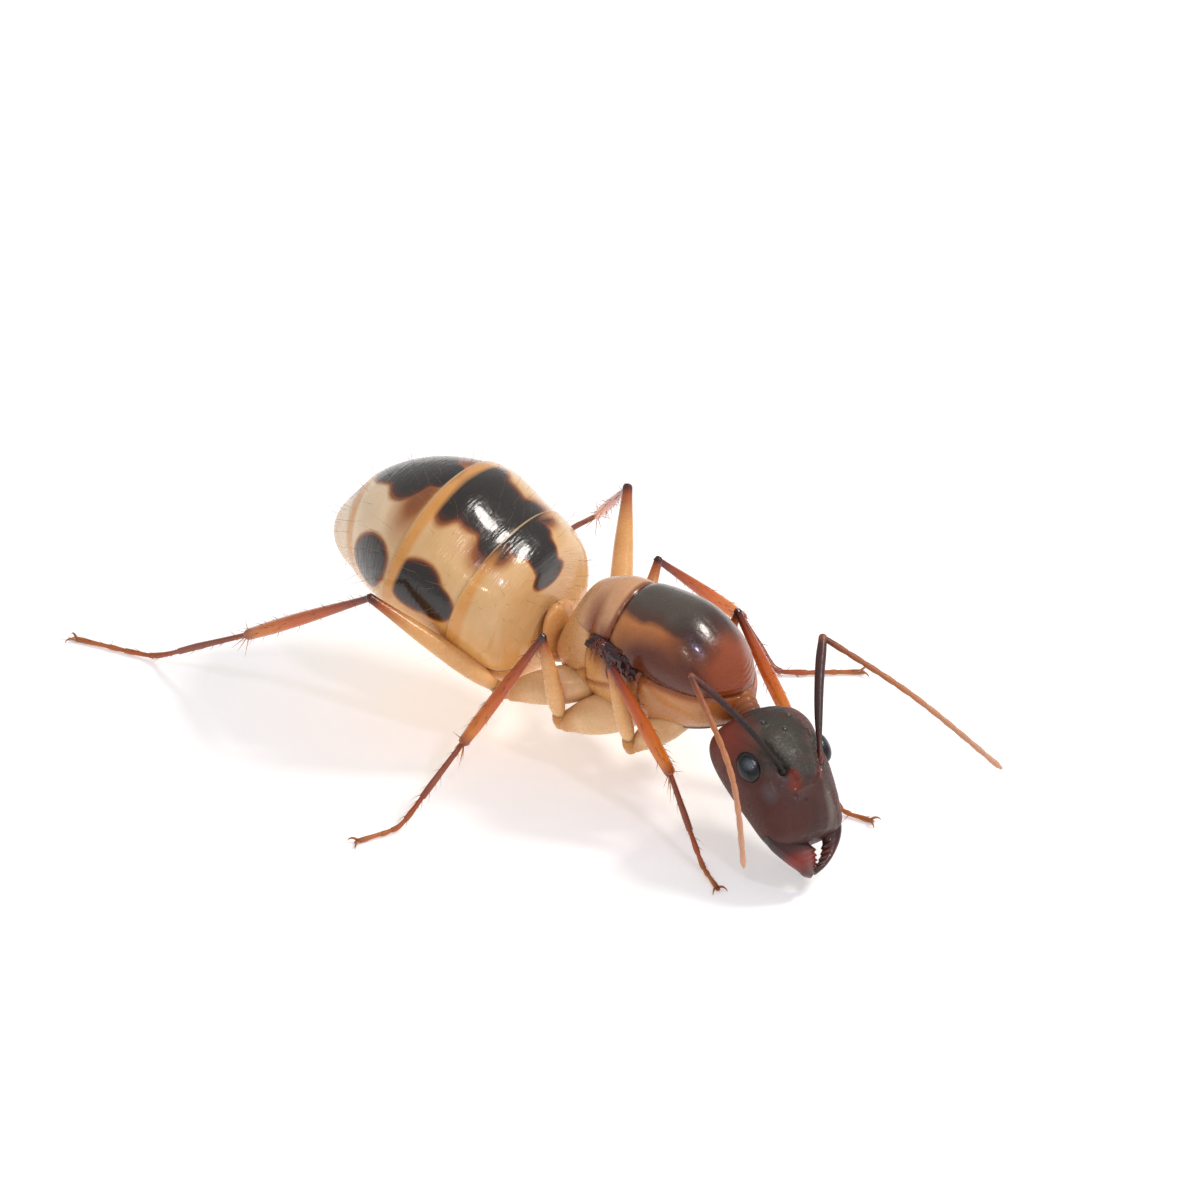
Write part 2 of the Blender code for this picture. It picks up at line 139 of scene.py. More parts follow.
# Legs: hip, knee, ankle, the bend where the tarsus reaches the floor, and toe
TARSUS_BEND_Z = 0.11
TOE_Z = 0.07
LEGS = {
    "fore_left": ((1.32, -0.05, 1.78), (1.78, -0.58, 3.95), (1.52, -2.20, 1.86),
                  (1.36, -3.74, TARSUS_BEND_Z), (1.48, -4.40, TOE_Z)),
    "fore_right": ((-1.32, 0.10, 1.78), (-1.80, 0.32, 4.20), (-1.70, -1.23, 1.90),
                   (-2.19, -2.50, TARSUS_BEND_Z), (-2.58, -3.16, TOE_Z)),
    "mid_left": ((1.25, 2.07, 1.60), (3.30, 2.70, 3.15), (5.00, 1.64, 1.08),
                 (4.85, 0.55, TARSUS_BEND_Z), (6.00, -0.90, TOE_Z)),
    "mid_right": ((-1.25, 2.07, 1.60), (-1.92, 2.08, 4.28), (-3.10, 3.36, 1.62),
                  (-4.93, 3.82, TARSUS_BEND_Z), (-5.80, 4.28, TOE_Z)),
    "hind_left": ((1.50, 2.50, 2.40), (4.40, 4.34, 3.83), (6.30, 6.55, 1.10),
                  (6.25, 7.65, TARSUS_BEND_Z), (6.50, 10.60, TOE_Z)),
    "hind_right": ((-1.62, 3.34, 2.10), (-2.98, 6.02, 4.32), (-2.80, 9.50, 1.80),
                   (-2.83, 12.15, TARSUS_BEND_Z), (-3.23, 13.98, TOE_Z)),
}
COXA_FULLNESS = {"fore": 1.0, "mid": 1.32, "hind": 1.22}
FEMUR_RADII = (0.12, 0.195, 0.215, 0.205, 0.185, 0.155, 0.120, 0.096)    # from hip to knee
TIBIA_RADII = (0.084, 0.096, 0.120, 0.143, 0.160, 0.166, 0.162, 0.140)   # from knee to foot
FEMUR_FULLNESS = {"fore": 1.0, "mid": 1.0, "hind": 1.18}
TIBIA_FULLNESS = {"hind_left": 0.72}
COXA_ROOTS = {"fore": (0.66, -0.72, 2.55), "mid": (0.62, 0.75, 2.15), "hind": (0.55, 1.95, 2.35)}

# The solids stand centred on the floor; the collar of the thorax says how far they were moved
collar_low, collar_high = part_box("pronotum")
ROW_SHIFT = Vector(((collar_low.x + collar_high.x) / 2, collar_low.y - TRUNK_FRONT_Y * MM, 0.0))
TO_ROW = Matrix.Translation(ROW_SHIFT) @ Matrix.Scale(MM, 4)


def row_place(point):
    """A point of the ant's frame, in metres in the frame of the solids."""
    return Vector(point) * MM + ROW_SHIFT


def place_object(name, data):
    """A new object of the scene that shows a mesh, a lamp or a camera."""
    item = bpy.data.objects.new(name, data)
    bpy.context.scene.collection.objects.link(item)
    return item


# ---------------------------------------------------------------- shape tools

def smooth_between(stations, position):
    """Value of a list of stations at a whole-and-part position, on a smooth curve."""
    last = len(stations) - 1
    index = max(min(int(position), last - 1), 0)
    t = position - index
    before = stations[max(index - 1, 0)]
    start, end = stations[index], stations[index + 1]
    after = stations[min(index + 2, last)]
    values = []
    for p0, p1, p2, p3 in zip(before, start, end, after):
        slope_in, slope_out = (p2 - p0) / 2, (p3 - p1) / 2
        values.append(p1 * (1 + 2 * t) * (1 - t) ** 2 + slope_in * t * (1 - t) ** 2
                      + p2 * t * t * (3 - 2 * t) + slope_out * t * t * (t - 1))
    return values


def swell(distance, width):
    """A soft hump: 1 at no distance, fading away over the width."""
    return math.exp(-(distance / width) ** 2)


def ease(value, low, high):
    """0 below low, 1 above high and smooth between them."""
    t = min(max((value - low) / (high - low), 0.0), 1.0)
    return t * t * (3 - 2 * t)


def off_segment(u, v, start, end):
    """Distance of a flat point (u, v) from the segment between two others."""
    du, dv = end[0] - start[0], end[1] - start[1]
    t = ((u - start[0]) * du + (v - start[1]) * dv) / (du * du + dv * dv)
    t = min(max(t, 0.0), 1.0)
    return math.hypot(u - start[0] - du * t, v - start[1] - dv * t)


def off_polyline(u, v, points):
    """Distance of a flat point (u, v) from a line through several points."""
    return min(off_segment(u, v, a, b) for a, b in zip(points, points[1:]))


def between(start, end, share):
    """The point at a share of the way from start to end."""
    return Vector(start).lerp(Vector(end), share)


def steps(start, end, count):
    """Evenly spaced values from start to end, both included."""
    return [start + (end - start) * i / (count - 1) for i in range(count)]


def steps_past_ends(last, count, parts):
    """Evenly spaced positions from 0 to last, with a few more past either end that close it."""
    return [-part for part in reversed(parts)] + steps(0.0, last, count) + [last + part for part in parts]


def scaled(values, factor):
    """Each value times the same factor."""
    return [factor * value for value in values]


def new_skin():
    """An empty mesh that keeps, at each vertex, its place on the surface, its relief and its lie."""
    skin = bmesh.new()
    for name in ("along", "around", "relief", "hairy"):
        skin.verts.layers.float.new(name)
    for name in ("lie", "unwrap"):
        skin.verts.layers.float_vector.new(name)
    return skin


def sweep(point_at, positions, angles, skin=None, hairy=1.0, island=(0.0, 0.0, 1.0)):
    """Closed skin through rings of points. point_at gives (point, along, around, relief) for a
    position and an angle. island is the corner and the size of its patch on the unwrap."""
    skin = skin or new_skin()
    layers = skin.verts.layers
    numbers = [layers.float[name] for name in ("along", "around", "relief", "hairy")]
    lie, unwrap = layers.float_vector["lie"], layers.float_vector["unwrap"]
    rows = []
    for i, position in enumerate(positions):
        row = []
        for j, angle in enumerate(angles):
            point, along, around, relief = point_at(position, angle)
            vert = skin.verts.new(point)
            for layer, value in zip(numbers, (along, around, relief, hairy)):
                vert[layer] = value
            corner_u, corner_v, size = island
            vert[unwrap] = (corner_u + size * (j + 0.5) / len(angles),
                            corner_v + size * (i + 0.5) / len(positions), 0.0)
            row.append(vert)
        rows.append(row)
    for near, far in zip(rows, rows[1:]):
        for a, b in zip(near, far):
            direction = (b.co - a.co).normalized()
            a[lie] = direction
            b[lie] = direction
        for j in range(len(angles)):
            k = (j + 1) % len(angles)
            skin.faces.new((near[j], near[k], far[k], far[j]))
    for row, way in ((rows[0], 1), (rows[-1], -1)):
        pole = skin.verts.new(sum((v.co for v in row), Vector()) / len(row))
        for layer in (*numbers, lie, unwrap):
            pole[layer] = row[0][layer]
        for j in range(len(row)):
            k = (j + 1) % len(row)
            skin.faces.new((row[k], row[j], pole) if way > 0 else (row[j], row[k], pole))
    return skin


def all_round(count):
    """Angles of a full ring in degrees, from the underside over the top and back."""
    return [360.0 * (step + 0.5) / count - 180.0 for step in range(count)]


def curve_through(points, count):
    """Points evenly along a smooth curve through a few others."""
    coarse = [Vector(smooth_between(points, position)) for position in steps(0.0, len(points) - 1, 200)]
    lengths = [0.0]
    for a, b in zip(coarse, coarse[1:]):
        lengths.append(lengths[-1] + (b - a).length)
    result, index = [], 0
    for step in range(count):
        wanted = lengths[-1] * step / (count - 1)
        while index < len(lengths) - 2 and lengths[index + 1] < wanted:
            index += 1
        part = (wanted - lengths[index]) / max(lengths[index + 1] - lengths[index], 1e-9)
        result.append(coarse[index].lerp(coarse[index + 1], min(part, 1.0)))
    return result


ROUND_END = (0.97, 0.85, 0.6, 0.3)  # where the rings of a rounded end lie, as shares of its depth


def limb(points, radii, skin=None, sides=16, rings=24, flat=1.0, blunt=0.8, shares=(0.0, 1.0),
         bumps=None, hairy=1.0, island=(0.0, 0.0, 1.0), tone=0.0):
    """A round-ended rod along points. radii are even stations from end to end; flat thins it
    along its second axis; bumps(share, angle) raises its surface; tone goes in as its relief."""
    path = curve_through(points, rings)
    stations = [(radius,) for radius in radii]
    length = sum((b - a).length for a, b in zip(path, path[1:]))
    tangents = [(path[min(i + 1, rings - 1)] - path[max(i - 1, 0)]).normalized() for i in range(rings)]
    across = tangents[0].cross(Z_AXIS)
    across = (across if across.length > 0.1 else tangents[0].cross(X_AXIS)).normalized()
    frames = []
    for point, tangent in zip(path, tangents):
        across = (across - tangent * across.dot(tangent)).normalized()
        frames.append((point, tangent, across, tangent.cross(across)))

    def place(position, angle):
        share = min(max(position, 0.0), 1.0)
        spot = share * (rings - 1)
        index = min(int(spot), rings - 2)
        point, tangent, side, up = (a.lerp(b, spot - index) for a, b in zip(frames[index], frames[index + 1]))
        radius = smooth_between(stations, share * (len(stations) - 1))[0]
        over = position - share
        if over:
            turn = math.asin(min(abs(over) * length / (radius * blunt), 1.0))
            point = point + tangent * math.copysign(radius * blunt * math.sin(turn), over)
            radius *= math.cos(turn)
        elif bumps:
            radius += bumps(share, angle)
        turn = math.radians(angle)
        spot = point + side * (radius * math.sin(turn)) + up * (radius * flat * math.cos(turn))
        along = shares[0] + (shares[1] - shares[0]) * share
        return spot, along, abs(angle), tone

    first, last = radii[0] * blunt / length, radii[-1] * blunt / length
    positions = [-first * part for part in ROUND_END] + steps(0.0, 1.0, rings)
    positions += [1.0 + last * part for part in reversed(ROUND_END)]
    return sweep(place, positions, all_round(sides), skin, hairy, island)


def lump(centre, half_sizes, axes, skin=None, rough=0.0, seed=0.0, sides=20, rings=12, shares=(0.0, 1.0)):
    """A rounded body with three half sizes along three axes, dented by noise where it is rough."""
    def place(position, angle):
        turn, rise = math.radians(angle), math.pi * position
        flat = Vector((math.sin(rise) * math.sin(turn), math.sin(rise) * math.cos(turn), -math.cos(rise)))
        dent = 1.0 + rough * noise.noise(flat * 2.3 + Vector((seed, 0, 0)))
        point = Vector(centre)
        for axis, size, value in zip(axes, half_sizes, flat):
            point = point + axis * (size * value * dent)
        return point, shares[0] + (shares[1] - shares[0]) * position, abs(angle), 0.0

    return sweep(place, steps(0.04, 0.96, rings), all_round(sides), skin)


def keep_side(skin, point, direction):
    """Cut a skin by a plane, keep the side the direction points to, and close the cut."""
    direction = Vector(direction).normalized()
    point = Vector(point) + direction * (SEAM_GAP / 2)
    everything = list(skin.verts) + list(skin.edges) + list(skin.faces)
    bmesh.ops.bisect_plane(skin, geom=everything, plane_co=point, plane_no=direction,
                           clear_inner=True, dist=1e-6)
    rim = [edge for edge in skin.edges if edge.is_boundary]
    if rim:
        bmesh.ops.holes_fill(skin, edges=rim, sides=0)
    return skin


def make_piece(name, skin, material, nodes=()):
    """Turn a skin into a finished object that rides on the ant and stands for its solids."""
    bmesh.ops.recalc_face_normals(skin, faces=skin.faces)
    bmesh.ops.triangulate(skin, faces=[face for face in skin.faces if len(face.verts) > 4])
    mesh = bpy.data.meshes.new(name)
    skin.to_mesh(mesh)
    skin.free()
    mesh.transform(TO_ROW)
    mesh.shade_smooth()
    mesh.set_sharp_from_angle(angle=math.radians(SHARP_EDGE))
    item = place_object(name, mesh)
    mesh.materials.append(material)
    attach(item, "root")
    if nodes:
        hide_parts(*nodes)
    return item


# ---------------------------------------------------------------- material tools

def linear(colour):
    """Linear red, green, blue and alpha of an sRGB hex colour."""
    values = [int(colour[i:i + 2], 16) / 255 for i in (1, 3, 5)]
    return (*(v / 12.92 if v <= 0.04045 else ((v + 0.055) / 1.055) ** 2.4 for v in values), 1.0)


def add(tree, kind, inputs=None, stops=None, **settings):
    """Add a node with its settings, input values or links, and the stops of a colour ramp."""
    item = tree.nodes.new(kind)
    for name, value in settings.items():
        setattr(item, name, value)
    for key, value in (inputs or {}).items():
        if isinstance(value, bpy.types.NodeSocket):
            tree.links.new(value, item.inputs[key])
        else:
            item.inputs[key].default_value = value
    if stops:
        elements = item.color_ramp.elements
        while len(elements) < len(stops):
            elements.new(1.0)
        for element, (place, colour) in zip(elements, stops):
            element.position = place
            element.color = linear(colour)
    return item


def new_material(name):
    """A new material, with its node tree and its main shader."""
    material = bpy.data.materials.new(name)
    material.use_nodes = True
    return material, material.node_tree, material.node_tree.nodes["Principled BSDF"]


def surface_millimetres(tree):
    """Object coordinates counted in millimetres."""
    own = add(tree, "ShaderNodeTexCoord").outputs["Object"]
    return add(tree, "ShaderNodeMapping", {"Vector": own, "Scale": (1 / MM,) * 3}).outputs[0]


def along_and_around(tree):
    """Where a spot lies on its piece: along it, and around it in degrees from the top."""
    return [add(tree, "ShaderNodeAttribute", attribute_name=name).outputs["Fac"]
            for name in ("along", "around")]


SPOT_MERGING = 0.30         # how softly neighbouring spots run into one another


def patches(tree, spots, softness=0.25, wander=0.12, mirrored=True):
    """Mask of soft oval patches on a surface. A spot is (along, around, half along, half around),
    around in degrees from the top, the same on both sides unless not mirrored; its rim wanders
    a little, as pigment does."""
    along, around = along_and_around(tree)
    if mirrored:
        around = add(tree, "ShaderNodeMath", {0: around}, operation="ABSOLUTE").outputs[0]
    place = add(tree, "ShaderNodeCombineXYZ", {"X": along, "Y": around}).outputs[0]
    drift = add(tree, "ShaderNodeTexNoise", {"Vector": surface_millimetres(tree), "Scale": 1.3,
                                             "Detail": 4.0, "Roughness": 0.5}).outputs["Color"]
    centred = add(tree, "ShaderNodeVectorMath", {0: drift, 1: (0.5,) * 3}, operation="SUBTRACT").outputs[0]
    total = None
    for spot_along, spot_around, half_along, half_around in spots:
        offset = add(tree, "ShaderNodeVectorMath", {0: place, 1: (spot_along, spot_around, 0.0)},
                     operation="SUBTRACT").outputs[0]
        shrunk = add(tree, "ShaderNodeVectorMath", {0: offset, 1: (1 / half_along, 1 / half_around, 0.0)},
                     operation="MULTIPLY").outputs[0]
        moved = add(tree, "ShaderNodeVectorMath", {0: centred, 1: (wander * 4,) * 3, 2: shrunk},
                    operation="MULTIPLY_ADD").outputs[0]
        flattened = add(tree, "ShaderNodeVectorMath", {0: moved, 1: (1.0, 1.0, 0.0)},
                        operation="MULTIPLY").outputs[0]
        reach = add(tree, "ShaderNodeVectorMath", {0: flattened}, operation="LENGTH").outputs["Value"]
        total = reach if total is None else add(tree, "ShaderNodeMath", {0: total, 1: reach, 2: SPOT_MERGING},
                                                operation="SMOOTH_MIN").outputs[0]
    return add(tree, "ShaderNodeMapRange", {"Value": total, "From Min": 1 + softness,
                                            "From Max": 1 - softness}).outputs[0]


def layered(tree, under, over, mask):
    """One colour laid over another by a mask."""
    return add(tree, "ShaderNodeMix", {0: mask, 6: under, 7: over}, data_type="RGBA").outputs[2]


def pigment_ramp(tree, mask, *stops):
    """Colour that follows a value from 0 to 1."""
    return add(tree, "ShaderNodeValToRGB", {"Fac": mask}, stops=stops).outputs[0]


def pigment_ramp_over(tree, ground, mask, *stops):
    """Pigment whose colour deepens from its rim inwards, laid over a ground colour."""
    cover = add(tree, "ShaderNodeMapRange", {"Value": mask, "From Max": 0.30}).outputs[0]
    return layered(tree, ground, pigment_ramp(tree, mask, *stops), cover)


def stained(tree, ground, colour, *spots, **edges):
    """Soft patches of one colour over a ground colour; edges says how the patches end."""
    return layered(tree, ground, linear(colour), patches(tree, spots, **edges))


def dotted(tree, where, ground, colour, centre, inner, outer, strength=1.0):
    """A round dot laid over a ground colour: full to its inner radius and gone at its outer one."""
    reach = add(tree, "ShaderNodeVectorMath", {0: where, 1: tuple(row_place(centre) / MM)},
                operation="DISTANCE").outputs["Value"]
    mask = add(tree, "ShaderNodeMapRange", {"Value": reach, "From Min": outer, "From Max": inner,
                                            "To Max": strength}).outputs[0]
    return layered(tree, ground, linear(colour), mask)


def ramp_down_the_side(tree, *stops):
    """Colour that changes from the top of a piece, at 0, to its underside, at 1."""
    around = add(tree, "ShaderNodeAttribute", attribute_name="around").outputs["Fac"]
    turned = add(tree, "ShaderNodeMath", {0: around, 1: 180.0}, operation="DIVIDE").outputs[0]
    return pigment_ramp(tree, turned, *stops)


WAVE_DEPTH = 0.02           # of the broad, soft waves of a plate


def chitin(name, paint, roughness=0.3, coat=0.12, glow=0.0, glow_depth=0.25, grain=0.07,
           grain_depth=0.0016, seam_colour="#8A4A26", seam_strength=0.6, mottle=0.5, striae=0.0):
    """Insect cuticle: a pigmented plate under a thin clear wax film. paint gives its colour,
    grain is the width in millimetres of the net of cells that its surface shows, glow how much
    light spreads inside it, mottle how strong its clouding is, and striae how high the fine lines
    stand that run across it. Grooves hold a darker line, and its polish varies in patches."""
    material, tree, shader = new_material(name)
    where = surface_millimetres(tree)
    cloud = add(tree, "ShaderNodeTexNoise",
                {"Vector": where, "Scale": 1.6, "Detail": 5.0, "Roughness": 0.6}).outputs[0]
    speckle = add(tree, "ShaderNodeTexNoise", {"Vector": where, "Scale": 14.0, "Detail": 2.0}).outputs[0]
    relief = add(tree, "ShaderNodeAttribute", attribute_name="relief").outputs["Fac"]
    depth = add(tree, "ShaderNodeMapRange", {"Value": relief, "From Min": -0.012, "From Max": -0.05,
                                             "To Max": seam_strength}).outputs[0]
    colour = paint(tree)
    darker = add(tree, "ShaderNodeHueSaturation",
                 {"Color": colour, "Saturation": 1.12, "Value": 0.78}).outputs[0]
    cloudy = add(tree, "ShaderNodeMapRange", {"Value": cloud, "From Min": 0.38, "From Max": 0.70,
                                              "To Max": mottle}).outputs[0]
    colour = layered(tree, colour, darker, cloudy)
    colour = layered(tree, colour, linear(seam_colour), depth)
    tree.links.new(colour, shader.inputs["Base Color"])
    polish = add(tree, "ShaderNodeMapRange",
                 {"Value": speckle, "From Min": 0.3, "From Max": 0.7,
                  "To Min": roughness * 0.8, "To Max": roughness * 1.25}).outputs[0]
    tree.links.new(polish, shader.inputs["Roughness"])
    cells = add(tree, "ShaderNodeTexVoronoi", {"Vector": where, "Scale": 1 / grain},
                feature="SMOOTH_F1").outputs["Distance"]
    waves = add(tree, "ShaderNodeTexNoise", {"Vector": where, "Scale": 3.5, "Detail": 3.0}).outputs[0]
    normal = add(tree, "ShaderNodeBump",
                 {"Height": cells, "Distance": grain_depth * MM, "Strength": 1.0}).outputs[0]
    normal = add(tree, "ShaderNodeBump", {"Height": waves, "Distance": WAVE_DEPTH * MM, "Strength": 0.6,
                                          "Normal": normal}).outputs[0]
    if striae:
        along, around = along_and_around(tree)
        across = add(tree, "ShaderNodeCombineXYZ", {"X": along, "Y": around}).outputs[0]
        drawn = add(tree, "ShaderNodeMapping", {"Vector": across, "Scale": (15.0, 0.07, 1.0)}).outputs[0]
        lines = add(tree, "ShaderNodeTexNoise", {"Vector": drawn, "Scale": 1.0, "Detail": 2.0}).outputs[0]
        normal = add(tree, "ShaderNodeBump", {"Height": lines, "Distance": striae * MM, "Strength": 1.0,
                                              "Normal": normal}).outputs[0]
    tree.links.new(normal, shader.inputs["Normal"])
    for socket, value in (("IOR", 1.48), ("Coat Weight", coat), ("Coat Roughness", 0.07),
                          ("Subsurface Weight", glow), ("Subsurface Scale", glow_depth * MM),
                          ("Subsurface Radius", (1.0, 0.55, 0.25))):
        shader.inputs[socket].default_value = value
    return material


def length_ramp(*stops):
    """Paint that changes along a piece, from its base at 0 to its far end at 1."""
    def paint(tree):
        along = add(tree, "ShaderNodeAttribute", attribute_name="along").outputs["Fac"]
        return pigment_ramp(tree, along, *stops)
    return paint


# ---------------------------------------------------------------- thorax

# Sutures that show on a plate without parting it: y, z lines
METANOTUM_SUTURE = ((1.98, 5.20), (1.74, 4.55), (1.42, 4.10))
EPISTERNUM_SUTURE = ((0.00, 3.02), (0.75, 3.12), (1.62, 2.72))
METAPLEURON_SUTURE = ((1.66, 3.05), (2.10, 2.70), (2.60, 2.62))
WAIST_CREASE = ((1.80, 2.05), (2.05, 2.30), (2.45, 2.40))
SPIRACLE = (2.12, 3.35)             # y, z of the breathing hole
SPIRACLE_RADIUS = 0.075
GLAND_BULGE = (2.38, 2.45)          # y, z of the soft bulge above the hind leg
GLAND_BULGE_WIDTH = 0.17
SEAM_DEPTH = 0.045                  # of the crisp groove at a seam
SHOULDER_DEPTH = 0.045              # of the soft fall of the plates towards it
# How deep each seam and suture is, beside the others
SEAM_DEPTHS = ((COLLAR_SEAM, 1.0), (WING_SEAM, 0.9), (PLEURON_SEAM, 0.5), (SCUTELLUM_SEAM, 1.0),
               (PROPODEUM_SEAM, 0.2))
SUTURE_DEPTHS = ((METANOTUM_SUTURE, 0.15), (EPISTERNUM_SUTURE, 1.0), (METAPLEURON_SUTURE, 1.0),
                 (WAIST_CREASE, 1.0))
TRUNK_RINGS, TRUNK_SIDES = 190, 200     # fine enough for the sutures
PRONOTUM_RIM = 140.0                # degrees from the top, where its lower edge curls in
COLLAR_RIDGE_STEP = 0.085           # from ridge to ridge at the front of the scutum


def trunk_relief(point, degrees):
    """How far the thorax skin stands out from its plain form."""
    y, z, turn = point.y, point.z, abs(degrees)
    relief = 0.0
    for seam, depth in SEAM_DEPTHS:
        distance = off_segment(y, z, *seam)
        relief -= depth * (SEAM_DEPTH * swell(distance, 0.030) + SHOULDER_DEPTH * swell(distance, 0.13))
    for suture, depth in SUTURE_DEPTHS:
        distance = off_polyline(y, z, suture)
        relief -= depth * (0.020 * swell(distance, 0.03) + 0.025 * swell(distance, 0.12))
    # furrows either side of the scutum, and its faint middle line
    on_scutum = ease(z, 3.9, 4.2) * ease(-y, -0.8, -0.6)
    relief -= 0.010 * swell(turn - 37.0, 1.6) * on_scutum * ease(y, -0.8, -0.4)
    relief -= 0.006 * swell(turn, 1.2) * on_scutum * ease(-y, -0.1, 0.3)
    # ridges of the scutum's front edge, level with the collar
    above_collar = z - 3.5 - 0.14 * (y + 2.1)
    ridges = math.cos(math.tau * above_collar / COLLAR_RIDGE_STEP)
    relief += 0.012 * ridges * swell(above_collar - 0.24, 0.17) * ease(-y, 1.35, 1.75)
    # scutellum and propodeum stand a little proud
    relief += 0.06 * swell(y - 1.36, 0.36) * swell(turn, 60.0)
    relief += 0.04 * swell(y - 1.95, 0.25) * swell(turn - 60.0, 50.0)
    # lower edge of the pronotum, and the narrow chest under it
    on_pronotum = ease(-y, 0.0, 0.15) * ease(y, -2.0, -1.85)
    relief += 0.030 * swell(turn - PRONOTUM_RIM, 3.0) * on_pronotum
    relief -= 0.14 * ease(turn, PRONOTUM_RIM + 1, PRONOTUM_RIM + 8) * on_pronotum
    relief -= 0.07 * swell(turn - 180.0, 6.0)
    # breathing hole with its raised ring, and the gland's bulge under it
    from_spiracle = math.hypot(y - SPIRACLE[0], z - SPIRACLE[1])
    relief += 0.022 * swell(from_spiracle - SPIRACLE_RADIUS, 0.022) - 0.05 * swell(from_spiracle, 0.04)
    relief += 0.05 * swell(math.hypot(y - GLAND_BULGE[0], z - GLAND_BULGE[1]), GLAND_BULGE_WIDTH)
    return relief


def trunk_surface(position, degrees):
    """A point of the thorax skin, at a position along its profile and an angle from the top."""
    share, low, high, width = smooth_between(TRUNK_PROFILE, position)
    turn = math.radians(degrees)
    point = Vector((TRUNK_HALF_WIDTH * width * math.sin(turn),
                    TRUNK_FRONT_Y + TRUNK_LENGTH * share,
                    (low + high) / 2 + (high - low) / 2 * math.cos(turn)))
    relief = trunk_relief(point, degrees)
    outward = Vector((math.sin(turn), 0.0, math.cos(turn)))
    return point + outward * relief, position, abs(degrees), relief


def build_thorax(flank, back):
    """The five plates of the thorax, each cut out of one whole skin along its seams."""
    ahead, behind, over, under = (-1.0, 0.0), (1.0, 0.0), (0.0, 1.0), (0.0, -1.0)
    plates = {
        "pronotum": ((COLLAR_SEAM, under), (PLEURON_SEAM, ahead)),
        "scutum": ((COLLAR_SEAM, over), (WING_SEAM, over), (SCUTELLUM_SEAM, ahead)),
        "scutellum": ((WING_SEAM, over), (SCUTELLUM_SEAM, behind)),
        "mesothorax": ((WING_SEAM, under), (PLEURON_SEAM, behind), (PROPODEUM_SEAM, ahead)),
        "propodeum": ((WING_SEAM, under), (PROPODEUM_SEAM, behind)),
    }
    whole = sweep(trunk_surface, steps(0.0, len(TRUNK_PROFILE) - 1, TRUNK_RINGS), all_round(TRUNK_SIDES))
    for name, seams in plates.items():
        skin = whole.copy()
        for (start, end), kept in seams:
            run = Vector((0.0, end[0] - start[0], end[1] - start[1]))
            normal = Vector((0.0, -run.z, run.y))
            towards = Vector((0.0, *kept))
            keep_side(skin, (0.0, *start), normal if normal.dot(towards) > 0 else -normal)
        finish, slot = (back, "thorax_back") if name == "scutum" else (flank[name], "thorax_flank")
        make_piece(name + "_plate", skin, finish, [name])
    whole.free()


NECK_PATH = ((0.0, -1.90, 3.20), (-0.14, -2.15, 3.16), (-0.38, -2.55, 3.04))


def build_neck(material):
    """The short soft neck between the thorax and the head."""
    folds = lambda share, angle: 0.010 * math.cos(share * math.tau * 5)
    skin = limb(NECK_PATH, (0.33, 0.29, 0.28), sides=32, rings=40, bumps=folds, tone=-0.01)
    make_piece("neck", skin, material)


# The stalk that carries the scale
PETIOLE_TUBE = ((0.0, 2.62, 2.74), (0.0, 3.0, 2.76), (0.0, 3.42, 2.90))
PETIOLE_TUBE_RADII = (0.30, 0.27, 0.25, 0.26, 0.32)
PETIOLE_ENDS = (0.3, 0.55, 0.8, 0.95)
PETIOLE_END_DEPTH = 0.05
PETIOLE_RINGS, PETIOLE_SIDES = 46, 56


def petiole_surface(position, degrees):
    """The scale, thin at its crest and thicker at its foot, front face a little flatter."""
    last = len(PETIOLE_PROFILE) - 1
    share = position / last
    inside = min(max(position, 0.0), last)
    y, z, half_width = smooth_between(PETIOLE_PROFILE, inside)
    half_thickness = 0.21 - 0.10 * share ** 2
    over = position - inside
    shrink = math.cos(abs(over) * math.pi / 2)
    z += math.copysign(PETIOLE_END_DEPTH * math.sin(abs(over) * math.pi / 2), over) if over else 0.0
    turn = math.radians(degrees)
    notch = 0.05 * swell(math.sin(turn), 0.3) * ease(share, 0.8, 1.0)
    point = Vector((half_width * shrink * math.sin(turn),
                    y - half_thickness * shrink * math.cos(turn), z - notch))
    groove = -0.02 * swell(z - 2.52, 0.05)
    return point, share, abs(degrees), groove


def build_petiole(material):
    """The upright scale of the waist on its short stalk."""
    positions = steps_past_ends(len(PETIOLE_PROFILE) - 1, PETIOLE_RINGS, PETIOLE_ENDS)
    skin = sweep(petiole_surface, positions, all_round(PETIOLE_SIDES))
    limb(PETIOLE_TUBE, PETIOLE_TUBE_RADII, skin=skin, sides=40, rings=30)
    make_piece("petiole_scale", skin, material, ["petiole"])


# Torn wing bases: the line they follow on the left flank (x, y, z); x is mirrored for the right
WING_LINE = ((1.29, 0.02, 3.78), (1.29, 0.35, 3.92), (1.26, 0.72, 4.05), (1.20, 1.08, 4.12),
             (1.12, 1.38, 4.16))
WING_RIDGE_RADII = (0.04, 0.11, 0.15, 0.18, 0.16, 0.12, 0.04)
WING_RIDGE_SINK = 0.10      # how deep the middle of the ridge lies in the flank
WING_LUMPS = 12
WING_SHREDS = 26
WING_SHRED_RADII = (0.034, 0.024, 0.020, 0.008)
WING_SEEDS = {"left": 5, "right": 8}


